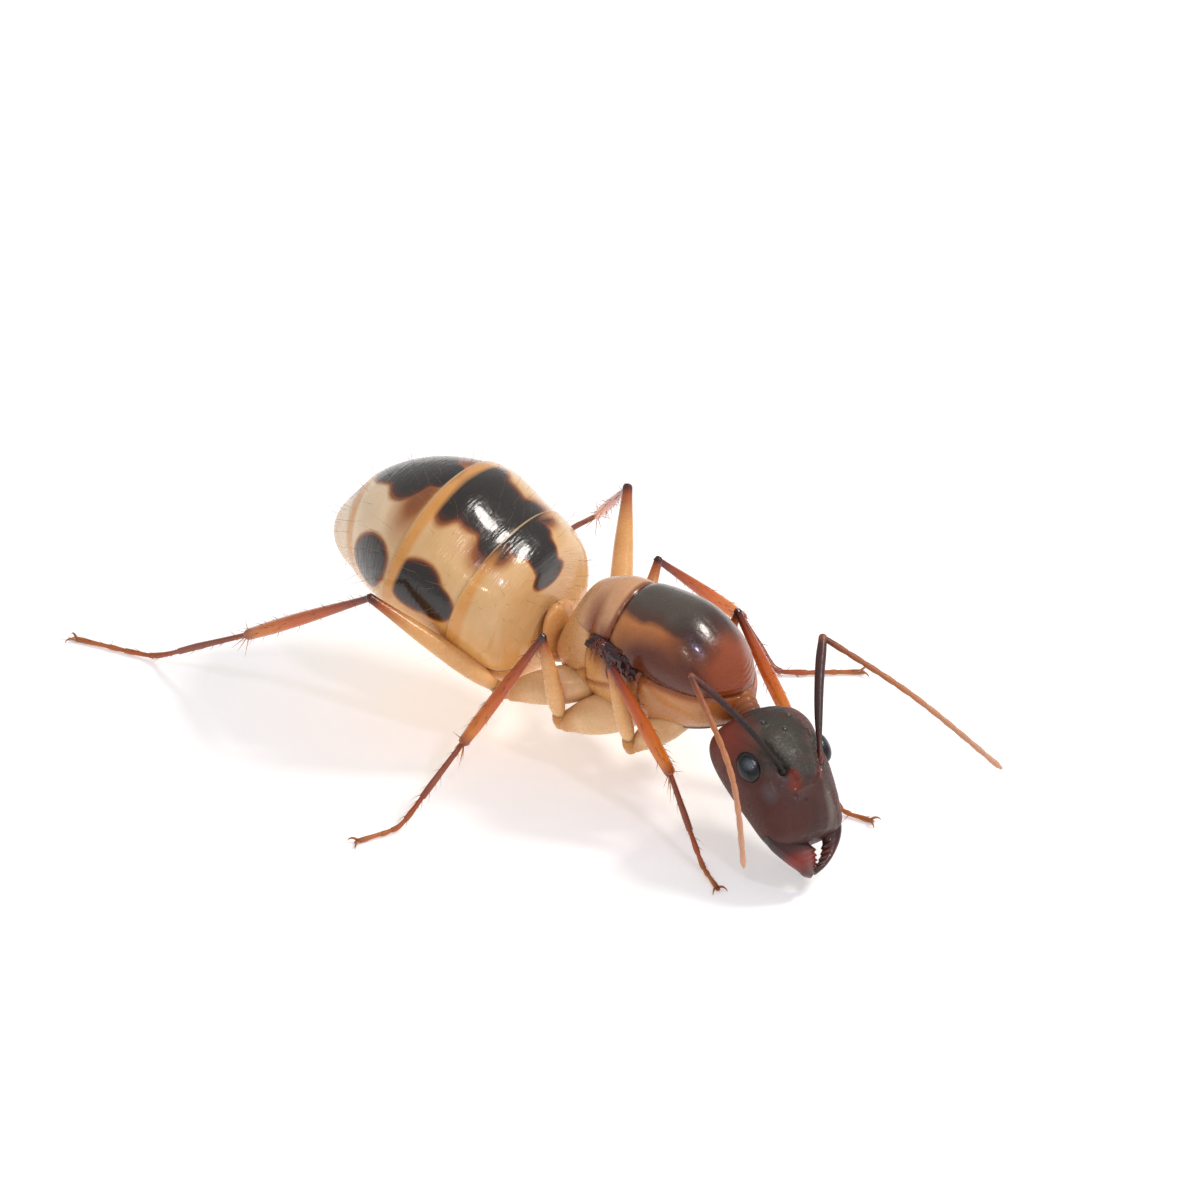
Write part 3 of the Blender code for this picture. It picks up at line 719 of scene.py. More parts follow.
def build_wing_bases(material):
    """Crumpled dark sclerites where the wings broke off, with shreds of their veins."""
    line = curve_through(WING_LINE, 101)
    for side, way in BOTH_SIDES:
        draw = random.Random(WING_SEEDS[side])
        skin = new_skin()
        ridge = [(way * (x - WING_RIDGE_SINK), y, z - 0.03) for x, y, z in WING_LINE]
        limb(ridge, WING_RIDGE_RADII, skin=skin, sides=32, rings=60, shares=(0.0, 0.12))
        for number in range(WING_LUMPS):
            share = (number + 0.5) / WING_LUMPS
            full = 0.55 + 0.45 * math.sin(math.pi * share)
            x, y, z = line[int(share * 100)]
            place = Vector((way * (x - draw.uniform(0.00, 0.07)), y + draw.uniform(-0.04, 0.04),
                            z + draw.uniform(-0.30, 0.06) * full))
            half_sizes = (draw.uniform(0.09, 0.15), draw.uniform(0.11, 0.24), draw.uniform(0.11, 0.24) * full)
            nod = Matrix.Rotation(draw.uniform(-0.6, 0.4), 3, "X")
            tilt = nod @ Matrix.Rotation(draw.uniform(-0.2, 0.2), 3, "Z")
            lump(place, half_sizes, [tilt @ axis for axis in AXES], skin, rough=0.20,
                 seed=7.0 * number + way, sides=28, rings=20, shares=(draw.uniform(0.0, 0.6),) * 2)
        for _ in range(WING_SHREDS):
            x, y, z = line[int(draw.uniform(0.05, 0.85) * 100)]
            start = Vector((way * (x - 0.02), y, z + draw.uniform(-0.15, 0.12)))
            reach = Vector((way * draw.uniform(-0.05, 0.06), draw.uniform(-0.08, 0.24),
                            draw.uniform(-0.70, -0.16)))
            bend = Vector((way * draw.uniform(0.02, 0.08), draw.uniform(-0.05, 0.05),
                           draw.uniform(-0.05, 0.05)))
            limb((start, start + reach * 0.5 + bend, start + reach), WING_SHRED_RADII, skin=skin,
                 sides=8, rings=12, flat=0.6, shares=(0.5, 1.0))
        make_piece("wing_base_torn_" + side, skin, material, ["wing_base_" + side])


# ---------------------------------------------------------------- head

def head_axes():
    """Origin and the along, left and up directions of the drooping, turned and tilted head."""
    turn, droop, roll = (math.radians(angle) for angle in (HEAD_TURN, HEAD_DROOP, HEAD_ROLL))
    ahead = Vector((-math.sin(turn), -math.cos(turn), 0.0))
    along = ahead * math.cos(droop) - Z_AXIS * math.sin(droop)
    level = ahead * math.sin(droop) + Z_AXIS * math.cos(droop)
    up = level * math.cos(roll) + level.cross(along) * math.sin(roll)
    return Vector(HEAD_BACK), along, up.cross(along), up


def in_head(along_by, left_by, up_by):
    """A point given in the head's own axes."""
    origin, along, left, up = head_axes()
    return origin + along * along_by + left * left_by + up * up_by


# Lines and spots of the face: along, sideways
CARINA = ((0.92, 0.56), (1.30, 0.50), (1.66, 0.38), (2.02, 0.27))
CLYPEUS_EDGE = ((2.17, 0.0), (2.17, 0.20), (2.24, 0.42), (2.50, 0.57), (2.85, 0.66), (3.14, 0.62))
OUTER_MOUTH_EDGE = ((2.05, 0.42), (3.10, 0.36))
INNER_MOUTH_EDGE = ((2.20, 0.16), (3.10, 0.14))
FOSSA = (1.70, 0.52)                # where the feeler sits
FOSSA_RADIUS = 0.15
OCELLI = ((0.78, 0.0), (0.47, 0.36), (0.47, -0.36))
OCELLUS_RADIUS = 0.055
OCELLUS_RISE = 0.042
HEAD_ENDS = (0.2, 0.4, 0.65, 0.85, 0.97)
HEAD_END_DEPTH = 0.055
HEAD_RINGS, HEAD_SIDES = 190, 230   # fine enough for the face's grooves


def head_relief(along, left, up):
    """How far the head skin stands out from its plain form."""
    side = abs(left)
    relief = -0.03 * swell(along - 0.13, 0.03)
    eye_along, eye_side, eye_up = EYE_PLACE
    if up > -0.25:
        across = (side - eye_side) * EYE_LOOK[1] - (up - eye_up) * EYE_LOOK[0]
        from_eye = math.hypot((along - eye_along) / EYE_HALF_SIZE[0], across / EYE_HALF_SIZE[1])
        relief -= 0.004 * swell(from_eye - 1.05, 0.12)
        relief += 0.006 * swell(from_eye - 1.40, 0.25)
    if up > 0:
        carina = off_polyline(along, side, CARINA)
        relief += 0.055 * swell(carina, 0.035) + 0.03 * swell(carina, 0.12)
        from_fossa = math.hypot(along - FOSSA[0], side - FOSSA[1])
        relief -= 0.07 * swell(from_fossa, FOSSA_RADIUS * 0.8)
        relief += 0.008 * swell(from_fossa - FOSSA_RADIUS, 0.045)
        edge = off_polyline(along, side, CLYPEUS_EDGE)
        relief -= 0.006 * swell(edge, 0.022) + 0.008 * swell(edge, 0.10)
        in_clypeus = ease(along, 2.15, 2.45) * (1 - ease(side, 0.35 + 0.25 * (along - 2.15), 0.70))
        relief += in_clypeus * (0.014 + 0.012 * swell(side, 0.12))
        relief -= 0.010 * swell(side, 0.018) * ease(along, 0.9, 1.05) * (1 - ease(along, 1.85, 2.0))
        relief -= 0.025 * swell(math.hypot(along - 2.06, side), 0.09)
        relief -= 0.022 * swell(math.hypot(along - 2.30, side - 0.43), 0.035)
        relief += 0.020 * noise.noise(Vector((along * 2.6, left * 2.6, 3.0)))
        for spot_along, spot_left in OCELLI:
            from_ocellus = math.hypot(along - spot_along, left - spot_left)
            relief += 0.014 * swell(from_ocellus - 0.085, 0.03) - 0.018 * swell(from_ocellus, 0.06)
    else:
        relief -= 0.045 * swell(side, 0.035) * (1 - ease(along, 1.8, 2.0))
        mouth = ease(along, 2.02, 2.15)
        relief -= 0.05 * swell(off_segment(along, side, *OUTER_MOUTH_EDGE), 0.035) * mouth
        relief -= 0.05 * swell(off_segment(along, side, *INNER_MOUTH_EDGE), 0.03) * mouth
        relief += 0.04 * swell(side, 0.30) * mouth
    return relief


def head_surface(position, degrees):
    """A point of the head's skin, at a position along its profile and an angle from its top."""
    inside = min(max(position, 0.0), len(HEAD_PROFILE) - 1)
    along, half_width, below, above = smooth_between(HEAD_PROFILE, inside)
    turn = math.radians(degrees)
    height = above if math.cos(turn) > 0 else below
    over = position - inside
    shrink = math.cos(abs(over) * math.pi / 2)
    along += math.copysign(HEAD_END_DEPTH * math.sin(abs(over) * math.pi / 2), over) if over else 0.0
    left, up = half_width * math.sin(turn) * shrink, height * math.cos(turn) * shrink
    relief = head_relief(along, left, up) * shrink
    point = in_head(along, left + math.sin(turn) * relief, up + math.cos(turn) * relief)
    return point, along, degrees, relief


def head_top(along, left):
    """Height of the head's upper face above its axis."""
    low, high = 0.0, float(len(HEAD_PROFILE) - 1)
    for _ in range(30):
        middle = (low + high) / 2
        low, high = (middle, high) if smooth_between(HEAD_PROFILE, middle)[0] < along else (low, middle)
    _, half_width, _, above = smooth_between(HEAD_PROFILE, low)
    return above * math.sqrt(max(1 - (left / half_width) ** 2, 0.0))


def build_head(capsule_chitin, eye_lens, ocellus_lens):
    """The head capsule, its two compound eyes and the three small eyes on its crown."""
    positions = steps_past_ends(len(HEAD_PROFILE) - 1, HEAD_RINGS, HEAD_ENDS)
    skin = sweep(head_surface, positions, all_round(HEAD_SIDES))
    make_piece("head_capsule", skin, capsule_chitin, ["head"])
    _, along, left, up = head_axes()
    for side, way in BOTH_SIDES:
        outward = (left * way * EYE_LOOK[0] + up * EYE_LOOK[1]).normalized()
        across = along.cross(outward)
        centre = in_head(EYE_PLACE[0], way * EYE_PLACE[1], EYE_PLACE[2])
        eye = lump(centre, EYE_HALF_SIZE, (along, across, outward), sides=56, rings=40)
        make_piece("eye_lens_" + side, eye, eye_lens, ["eye_" + side])
    ocelli = new_skin()
    for spot_along, spot_left in OCELLI:
        centre = in_head(spot_along, spot_left, head_top(spot_along, spot_left) - 0.014)
        lump(centre, (OCELLUS_RADIUS, OCELLUS_RADIUS, OCELLUS_RISE), (along, left, up), ocelli,
             sides=24, rings=14)
    make_piece("ocelli", ocelli, ocellus_lens)


# Jaw stations from hinge to tip: outer edge (along, sideways), inner edge, half thickness, up
JAWS = {
    "right": ((2.78, 1.06, 2.95, 0.42, 0.26, -0.04), (3.06, 0.98, 3.04, 0.12, 0.26, -0.10),
              (3.30, 0.83, 3.24, -0.13, 0.23, -0.17), (3.49, 0.66, 3.42, -0.14, 0.19, -0.24),
              (3.66, 0.46, 3.56, -0.12, 0.16, -0.30), (3.79, 0.31, 3.66, -0.08, 0.14, -0.35),
              (3.85, 0.10, 3.74, -0.03, 0.10, -0.39)),
    "left": ((2.80, 1.05, 2.97, 0.56, 0.26, -0.04), (3.08, 0.95, 3.08, 0.48, 0.25, -0.10),
             (3.29, 0.82, 3.24, 0.45, 0.22, -0.17), (3.46, 0.67, 3.40, 0.38, 0.18, -0.24),
             (3.61, 0.50, 3.55, 0.25, 0.15, -0.30), (3.73, 0.31, 3.67, 0.10, 0.12, -0.36),
             (3.80, 0.10, 3.75, 0.00, 0.07, -0.40)),
}
JAW_TEETH = 6
TOOTH_HEIGHT = 0.075
JAW_RINGS, JAW_SIDES = 200, 40


def jaw_surface(side, way):
    """The skin of a jaw, whose inner edge is cut into teeth."""
    stations = JAWS[side]
    last = len(stations) - 1

    def place(position, degrees):
        out_along, out_side, in_along, in_side, half_thickness, level = smooth_between(stations, position)
        share = position / last
        cutting = ease(share, 0.30, 0.36) * (1 - ease(share, 0.96, 1.0))
        phase = (share - 0.33) / 0.67 * JAW_TEETH
        tooth = (1 - abs(2 * (phase - math.floor(phase)) - 1)) * cutting * TOOTH_HEIGHT
        turn = math.radians(degrees)
        middle = 0.5 + 0.5 * math.sin(turn)
        edge = abs(math.cos(turn)) ** 0.8 * (0.55 + 0.45 * middle)
        tooth *= (1 - middle) ** 4
        along = in_along + (out_along - in_along) * middle + tooth * 0.3
        sideways = in_side + (out_side - in_side) * middle - tooth * 0.9
        rise = math.copysign(half_thickness * edge, math.cos(turn))
        arch = 0.10 * math.sin(math.pi * share) * middle
        return in_head(along, way * sideways, rise + arch + level), share, abs(degrees), 0.0

    return place


def build_jaws(materials):
    """The two toothed jaws, each along its own curve."""
    for side, way in BOTH_SIDES:
        positions = steps(0.0, len(JAWS[side]) - 1, JAW_RINGS)
        skin = sweep(jaw_surface(side, way), positions, all_round(JAW_SIDES))
        make_piece("mandible_toothed_" + side, skin, materials[side], ["mandible_" + side])


# Palps under the mouth, from root to tip in the head's axes, and how many joints each has
PALPS = (
    (((2.62, 0.24, -0.62), (2.48, 0.30, -0.80), (2.12, 0.32, -0.90), (1.70, 0.28, -0.98)), 5, 0.050),
    (((2.78, 0.10, -0.58), (2.72, 0.12, -0.76), (2.54, 0.12, -0.86)), 4, 0.040),
)


CHAIN_STEPS = 239           # even steps along the path of a jointed rod
LAST_JOINT_SHARE = 1.25     # its length beside that of a middle joint


def joints_chain(points, count, radius, skin, sides, rings=10, first_share=1.0, taper=1.0):
    """A jointed rod: each joint narrow at its foot and full near its end."""
    path = curve_through(points, CHAIN_STEPS + 1)
    weights = [first_share] + [1.0] * (count - 2) + [LAST_JOINT_SHARE]
    total, start = sum(weights), 0.0
    for number, weight in enumerate(weights):
        end = start + weight / total
        piece = path[int(start * CHAIN_STEPS):int(end * CHAIN_STEPS) + 1]
        full = radius * (1 - (1 - taper) * number / count)
        tip = full * (0.45 if number == count - 1 else 0.90)
        limb(piece, (full * 0.80, full * 0.92, full, full, tip), skin=skin, sides=sides, rings=rings,
             blunt=0.4, shares=(start, end), island=(0.0, start, weight / total))
        start = end
    return skin


def build_palps(material):
    """Two pairs of jointed palps under the mouth."""
    for side, way in BOTH_SIDES:
        skin = new_skin()
        for path, count, radius in PALPS:
            joints_chain([in_head(a, way * b, c) for a, b, c in path], count, radius, skin, sides=12)
        make_piece("palps_" + side, skin, material)


SCAPE_RADII = (0.070, 0.056, 0.082, 0.098, 0.106, 0.112, 0.116, 0.096)    # from socket to elbow
SCAPE_FULLNESS = {"left": 1.0, "right": 0.72}
SCAPE_BOW = {"left": (-0.06, 0.03, 0.02), "right": (0.02, -0.02, 0.13)}    # how far each arches
SCAPE_BALL = (0.085, 0.085, 0.075)  # half sizes of the ball at its root
SCAPE_SINK = 0.04                   # how deep that ball lies in the head
WHIP_JOINTS = 11
WHIP_RADIUS = 0.072


def build_feelers(scape_chitins, whip_chitin):
    """Each feeler: a ball in its socket, the long scape, then a whip of eleven joints."""
    skins = {}
    _, _, _, face = head_axes()
    for side, way in BOTH_SIDES:
        elbow, middle, tip = (Vector(place) for place in FEELERS[side])
        left_by = way * FOSSA[1]
        root = in_head(FOSSA[0], left_by, head_top(FOSSA[0], left_by) - SCAPE_SINK)
        reach = (elbow - root).normalized()
        neck = root + reach * 0.10 + face * 0.045
        bow = Vector(SCAPE_BOW[side])
        scape = limb((root, neck, between(neck, elbow, 0.25) + bow * 0.75, between(neck, elbow, 0.5) + bow,
                      between(neck, elbow, 0.75) + bow * 0.75, elbow),
                     scaled(SCAPE_RADII, SCAPE_FULLNESS[side]), sides=24, rings=80)
        lump(root, SCAPE_BALL, AXES, scape, shares=(0.0, 0.0))
        make_piece("scape_rod_" + side, scape, scape_chitins[side], ["scape_" + side])
        whip = new_skin()
        joints_chain((elbow, middle, tip), WHIP_JOINTS, WHIP_RADIUS, whip, sides=18, rings=12,
                     first_share=1.5, taper=0.92)
        skins[side] = whip.copy()
        make_piece("whip_" + side, whip, whip_chitin,
                   ["funiculus_base_" + side, "funiculus_tip_" + side])
    return skins


# ---------------------------------------------------------------- gaster

PLEURAL_LINE = 121.0                # degrees from the top, where back plates meet belly plates
PLEURAL_GAP = 0.25                  # degrees between either plate's edge and that line
BELLY_BULGE = 0.20                  # how far the underside swells on either side behind the waist
CREST_DIP = 0.28                    # how far the first two plates are flattened along their top
RIM_STEP = 0.040                    # how far a plate's hind rim stands over the next plate
RIM_TUCK = (0.02, 0.04, 0.06, 0.12)     # stations past that rim where the skin folds in
PLATE_GAP = 0.006                   # stations left free in front of each plate
PLATE_RINGS = 36                    # from one station to the next
BACK_SIDES, BELLY_SIDES = 150, 72


def gaster_surface(first, last):
    """The skin of one ring of the gaster, which drops away behind its raised hind rim."""
    def place(position, degrees):
        from_line = abs(degrees) - PLEURAL_LINE
        share = (position - first) / (last - first)
        station = min(position, last)
        y, z, tilt, half_width, half_height = smooth_between(GASTER_LINE, station)
        turn, lean = math.radians(degrees), math.radians(tilt)
        up = Vector((0.0, -math.sin(lean), math.cos(lean)))
        relief = -0.025 * (1 - ease(share, 0.0, 0.12)) + RIM_STEP * ease(share, 0.35, 1.0)
        relief -= 0.05 * ease(position, last, last + 0.06) + 0.06 * ease(position, last + 0.06, last + 0.12)
        relief -= 0.035 * swell(from_line, 1.6) + 0.03 * swell(from_line, 6.0)
        relief -= 0.03 * ease(from_line, 0.0, 3.0)
        relief -= CREST_DIP * ease(station, 1.2, 1.9) * (1 - ease(station, 3.2, 4.5)) * swell(degrees, 60.0)
        relief += BELLY_BULGE * swell(station - 2.2, 1.0) * swell(abs(degrees) - 145.0, 30.0)
        outward = X_AXIS * math.sin(turn) + up * math.cos(turn)
        point = (Vector((0.0, y, z)) + X_AXIS * (half_width * math.sin(turn))
                 + up * (half_height * math.cos(turn)))
        waves = 0.03 * noise.noise(point * 0.8 + Vector((0.0, 0.0, 5.0)))
        groove = -0.05 * swell(from_line, 1.4)
        return point + outward * (relief + waves), station, abs(degrees), groove

    return place


def build_gaster(material):
    """Five rings, each a back plate and a belly plate that reach over the next ring."""
    skins = []
    for number, (first, last) in enumerate(GASTER_PLATES, start=1):
        positions = steps(first + (PLATE_GAP if number > 1 else 0.0), last, PLATE_RINGS * (last - first))
        positions += [last + part for part in RIM_TUCK]
        edge = PLEURAL_LINE - PLEURAL_GAP
        back_angles = steps(-edge, edge, BACK_SIDES)
        edge = PLEURAL_LINE + PLEURAL_GAP
        belly_angles = [a if a <= 180 else a - 360 for a in steps(edge, 360 - edge, BELLY_SIDES)]
        surface = gaster_surface(first, last)
        back = sweep(surface, positions, back_angles)
        belly = sweep(surface, positions, belly_angles)
        skins += [back.copy(), belly.copy()]
        make_piece(f"tergite_{number}", back, material, [f"gaster_{number}"])
        make_piece(f"sternite_{number}", belly, material)
    return skins


# ---------------------------------------------------------------- legs

TARSUS_JOINTS = ((0.46, 0.078), (0.18, 0.068), (0.12, 0.064), (0.08, 0.062), (0.16, 0.062))  # share, radius
TARSUS_JOINT_FORM = (0.76, 0.80, 0.88, 1.0, 0.95)       # shares of a joint's radius, along it
CLAW_LENGTH = 0.24
CLAW_RADII = (0.034, 0.028, 0.020, 0.007)
COXA_RADII = (0.34, 0.36, 0.34, 0.28, 0.19)     # from the body to the hip
TROCHANTER_RADII = (0.14, 0.17, 0.16)
KNEE_RADIUS = 0.095
SPUR_RADII = (0.020, 0.015, 0.005)
SPUR_WAYS = {"fore": (0.5,), "mid": (0.6, -0.5), "hind": (0.6, -0.5)}


def build_claws(toe, heading, skin):
    """Two hooked claws with a pad between them, resting on the floor."""
    flat = Vector((heading.x, heading.y, 0.0)).normalized()
    across = Vector((-flat.y, flat.x, 0.0))
    for way in (1.0, -1.0):
        out = (flat + across * way * 0.75).normalized()
        start = toe + across * way * 0.03
        path = (start, start + out * CLAW_LENGTH * 0.5 + Z_AXIS * 0.045,
                start + out * CLAW_LENGTH * 0.85 + Z_AXIS * 0.015, start + out * CLAW_LENGTH - Z_AXIS * 0.035)
        limb(path, CLAW_RADII, skin=skin, sides=8, rings=12, shares=(0.97, 1.0), hairy=0.0)
    lump(toe + flat * 0.06 - Z_AXIS * 0.015, (0.055, 0.055, 0.035), (flat, across, Z_AXIS), skin,
         sides=12, rings=8, shares=(0.97, 1.0))


# Stiff hairs fanned round the end of the shin: sideways, downwards and onward shares, length
SHIN_END_SETAE = ((-0.9, 0.2, 0.3, 0.42), (-0.5, 0.7, 0.4, 0.40), (0.1, 0.9, 0.3, 0.66),
                  (0.5, 0.7, 0.5, 0.44), (0.9, 0.2, 0.4, 0.36), (0.3, -0.6, 0.5, 0.26))
SHIN_END_SETA_ROOT = 0.08   # how far from the middle of the ankle they start
SHIN_END_SETA_RADII = (0.011, 0.008, 0.003)
COMB_SPINES = 11            # along the underside of each foot
COMB_START, COMB_STEP = 0.05, 0.055     # shares of the foot's length
COMB_SPINE_LENGTH = 0.16
COMB_SWAYS = (-0.3, 0.4)    # to one side and the other by turns
COMB_SPINE_RADII = (0.013, 0.010, 0.003)
COMB_LOWEST = 0.030         # no spine reaches lower than this
FOOT_STEPS = 240            # even steps along the path of a foot


def build_shin_setae(ankle, onward, beside, skin):
    """Stiff hairs that fan out round the end of a shin."""
    for sideways, down, forward, length in SHIN_END_SETAE:
        heading = (beside * sideways - Z_AXIS * down + onward * forward).normalized()
        reaches = (SHIN_END_SETA_ROOT, SHIN_END_SETA_ROOT + length * 0.5, SHIN_END_SETA_ROOT + length)
        path = [ankle + heading * reach for reach in reaches]
        limb(path, SHIN_END_SETA_RADII, skin=skin, sides=6, rings=8, shares=(0.98, 1.0), hairy=0.0)


def build_comb(path, skin):
    """A row of short spines along the underside of a foot, leaning towards its tip."""
    for number in range(COMB_SPINES):
        share = COMB_START + COMB_STEP * number
        index = int(share * (len(path) - 1))
        run = (path[index + 5] - path[index]).normalized()
        beside = run.cross(Z_AXIS).normalized()
        heading = (run * 0.8 - Z_AXIS * 0.55 + beside * COMB_SWAYS[number % 2]).normalized()
        length = min(COMB_SPINE_LENGTH, max(path[index].z - COMB_LOWEST, 0.02) / max(-heading.z, 0.1))
        root = path[index] + heading * 0.03
        tip = root + heading * length
        limb((root, root.lerp(tip, 0.5), tip), COMB_SPINE_RADII, skin=skin, sides=6, rings=8,
             shares=(share, share + 0.01), hairy=0.0)


def build_leg(name, joints, looks):
    """Coxa, femur, tibia and tarsus of one leg. Gives back the skins that bristles grow on."""
    hip, knee, ankle, bend, toe = (Vector(joint) for joint in joints)
    pair, side = name.split("_")
    way = 1.0 if side == "left" else -1.0
    root = COXA_ROOTS[pair]
    root = Vector((way * root[0], *root[1:]))
    thigh = (knee - hip).normalized()

    coxa = limb((root, between(root, hip, 0.5), between(root, hip, 0.90)),
                scaled(COXA_RADII, COXA_FULLNESS[pair]), sides=32, rings=30, hairy=0.5)
    make_piece("coxa_cone_" + name, coxa, looks["coxa"], ["coxa_" + name])

    femur = limb((hip - thigh * 0.05, hip + thigh * 0.22), TROCHANTER_RADII, sides=24, rings=12,
                 shares=(0.0, 0.06), hairy=0.4)
    limb((hip + thigh * 0.20, between(hip, knee, 0.5), knee), scaled(FEMUR_RADII, FEMUR_FULLNESS[pair]),
         skin=femur, sides=24, rings=60, shares=(0.06, 1.0), flat=0.88, hairy=0.5)
    femur_skin = femur.copy()
    make_piece("femur_spindle_" + name, femur, looks["femur"], ["femur_" + name])

    shin = (ankle - knee).normalized()
    tibia = limb((knee, knee + shin * 0.25, between(knee, ankle, 0.6), ankle),
                 scaled(TIBIA_RADII, TIBIA_FULLNESS.get(name, 1.0)), sides=24, rings=60, flat=0.92)
    lump(knee, (KNEE_RADIUS,) * 3, AXES, tibia, rough=0.25, seed=len(name), shares=(0.0, 0.0))
    foot = (bend - ankle).normalized()
    beside = shin.cross(Z_AXIS).normalized()
    for spur_way in SPUR_WAYS[pair]:
        tip = ankle + foot * 0.34 + beside * spur_way * 0.30
        limb((ankle + beside * spur_way * 0.12, between(ankle, tip, 0.6) + beside * spur_way * 0.05, tip),
             SPUR_RADII, skin=tibia, sides=8, rings=10, shares=(0.95, 1.0), hairy=0.0)
    build_shin_setae(ankle, foot, beside, tibia)
    tibia_skin = tibia.copy()
    make_piece("tibia_shaft_" + name, tibia, looks["tibia"], ["tibia_" + name])

    path = curve_through((ankle, between(ankle, bend, 0.5), between(ankle, bend, 0.93),
                          between(bend, toe, 0.25), between(bend, toe, 0.6), toe), FOOT_STEPS + 1)
    tarsus = new_skin()
    start = 0.0
    for share, full in TARSUS_JOINTS:
        end = start + share
        piece = path[int(start * FOOT_STEPS):int(end * FOOT_STEPS) + 1]
        limb(piece, scaled(TARSUS_JOINT_FORM, full), skin=tarsus, rings=max(8, int(70 * share)), blunt=0.45,
             shares=(start, end))
        start = end
    build_comb(path, tarsus)
    build_claws(path[-1], path[-1] - path[-20], tarsus)
    tarsus_skin = tarsus.copy()
    make_piece("tarsus_foot_" + name, tarsus, looks["tarsus"], ["tarsus_" + name])
    return femur_skin, tibia_skin, tarsus_skin


# ---------------------------------------------------------------- bristles

GROUND_CLEARANCE = 0.004    # bristles under the feet bend along the ground
BRISTLE_BOW = 0.28          # how far a bristle bows, for its length
TUFT_PATCH = 0.003          # width of one bristle's patch on the unwrap
BRISTLE_SIZES = ("Per Square Millimetre", "Length", "Thickness", "Rise", "Disorder", "Seed")
BRISTLES = {
    "setae_gaster": (6.0, 0.66 * MM, 0.007 * MM, 0.90, 0.22, 11),
    "bristles_shins_and_feet": (18.0, 0.25 * MM, 0.015 * MM, 0.48, 0.18, 23),
    "setae_thighs": (4.0, 0.15 * MM, 0.008 * MM, 0.6, 0.18, 31),
    "down_feelers": (190.0, 0.045 * MM, 0.006 * MM, 0.35, 0.18, 41),
}


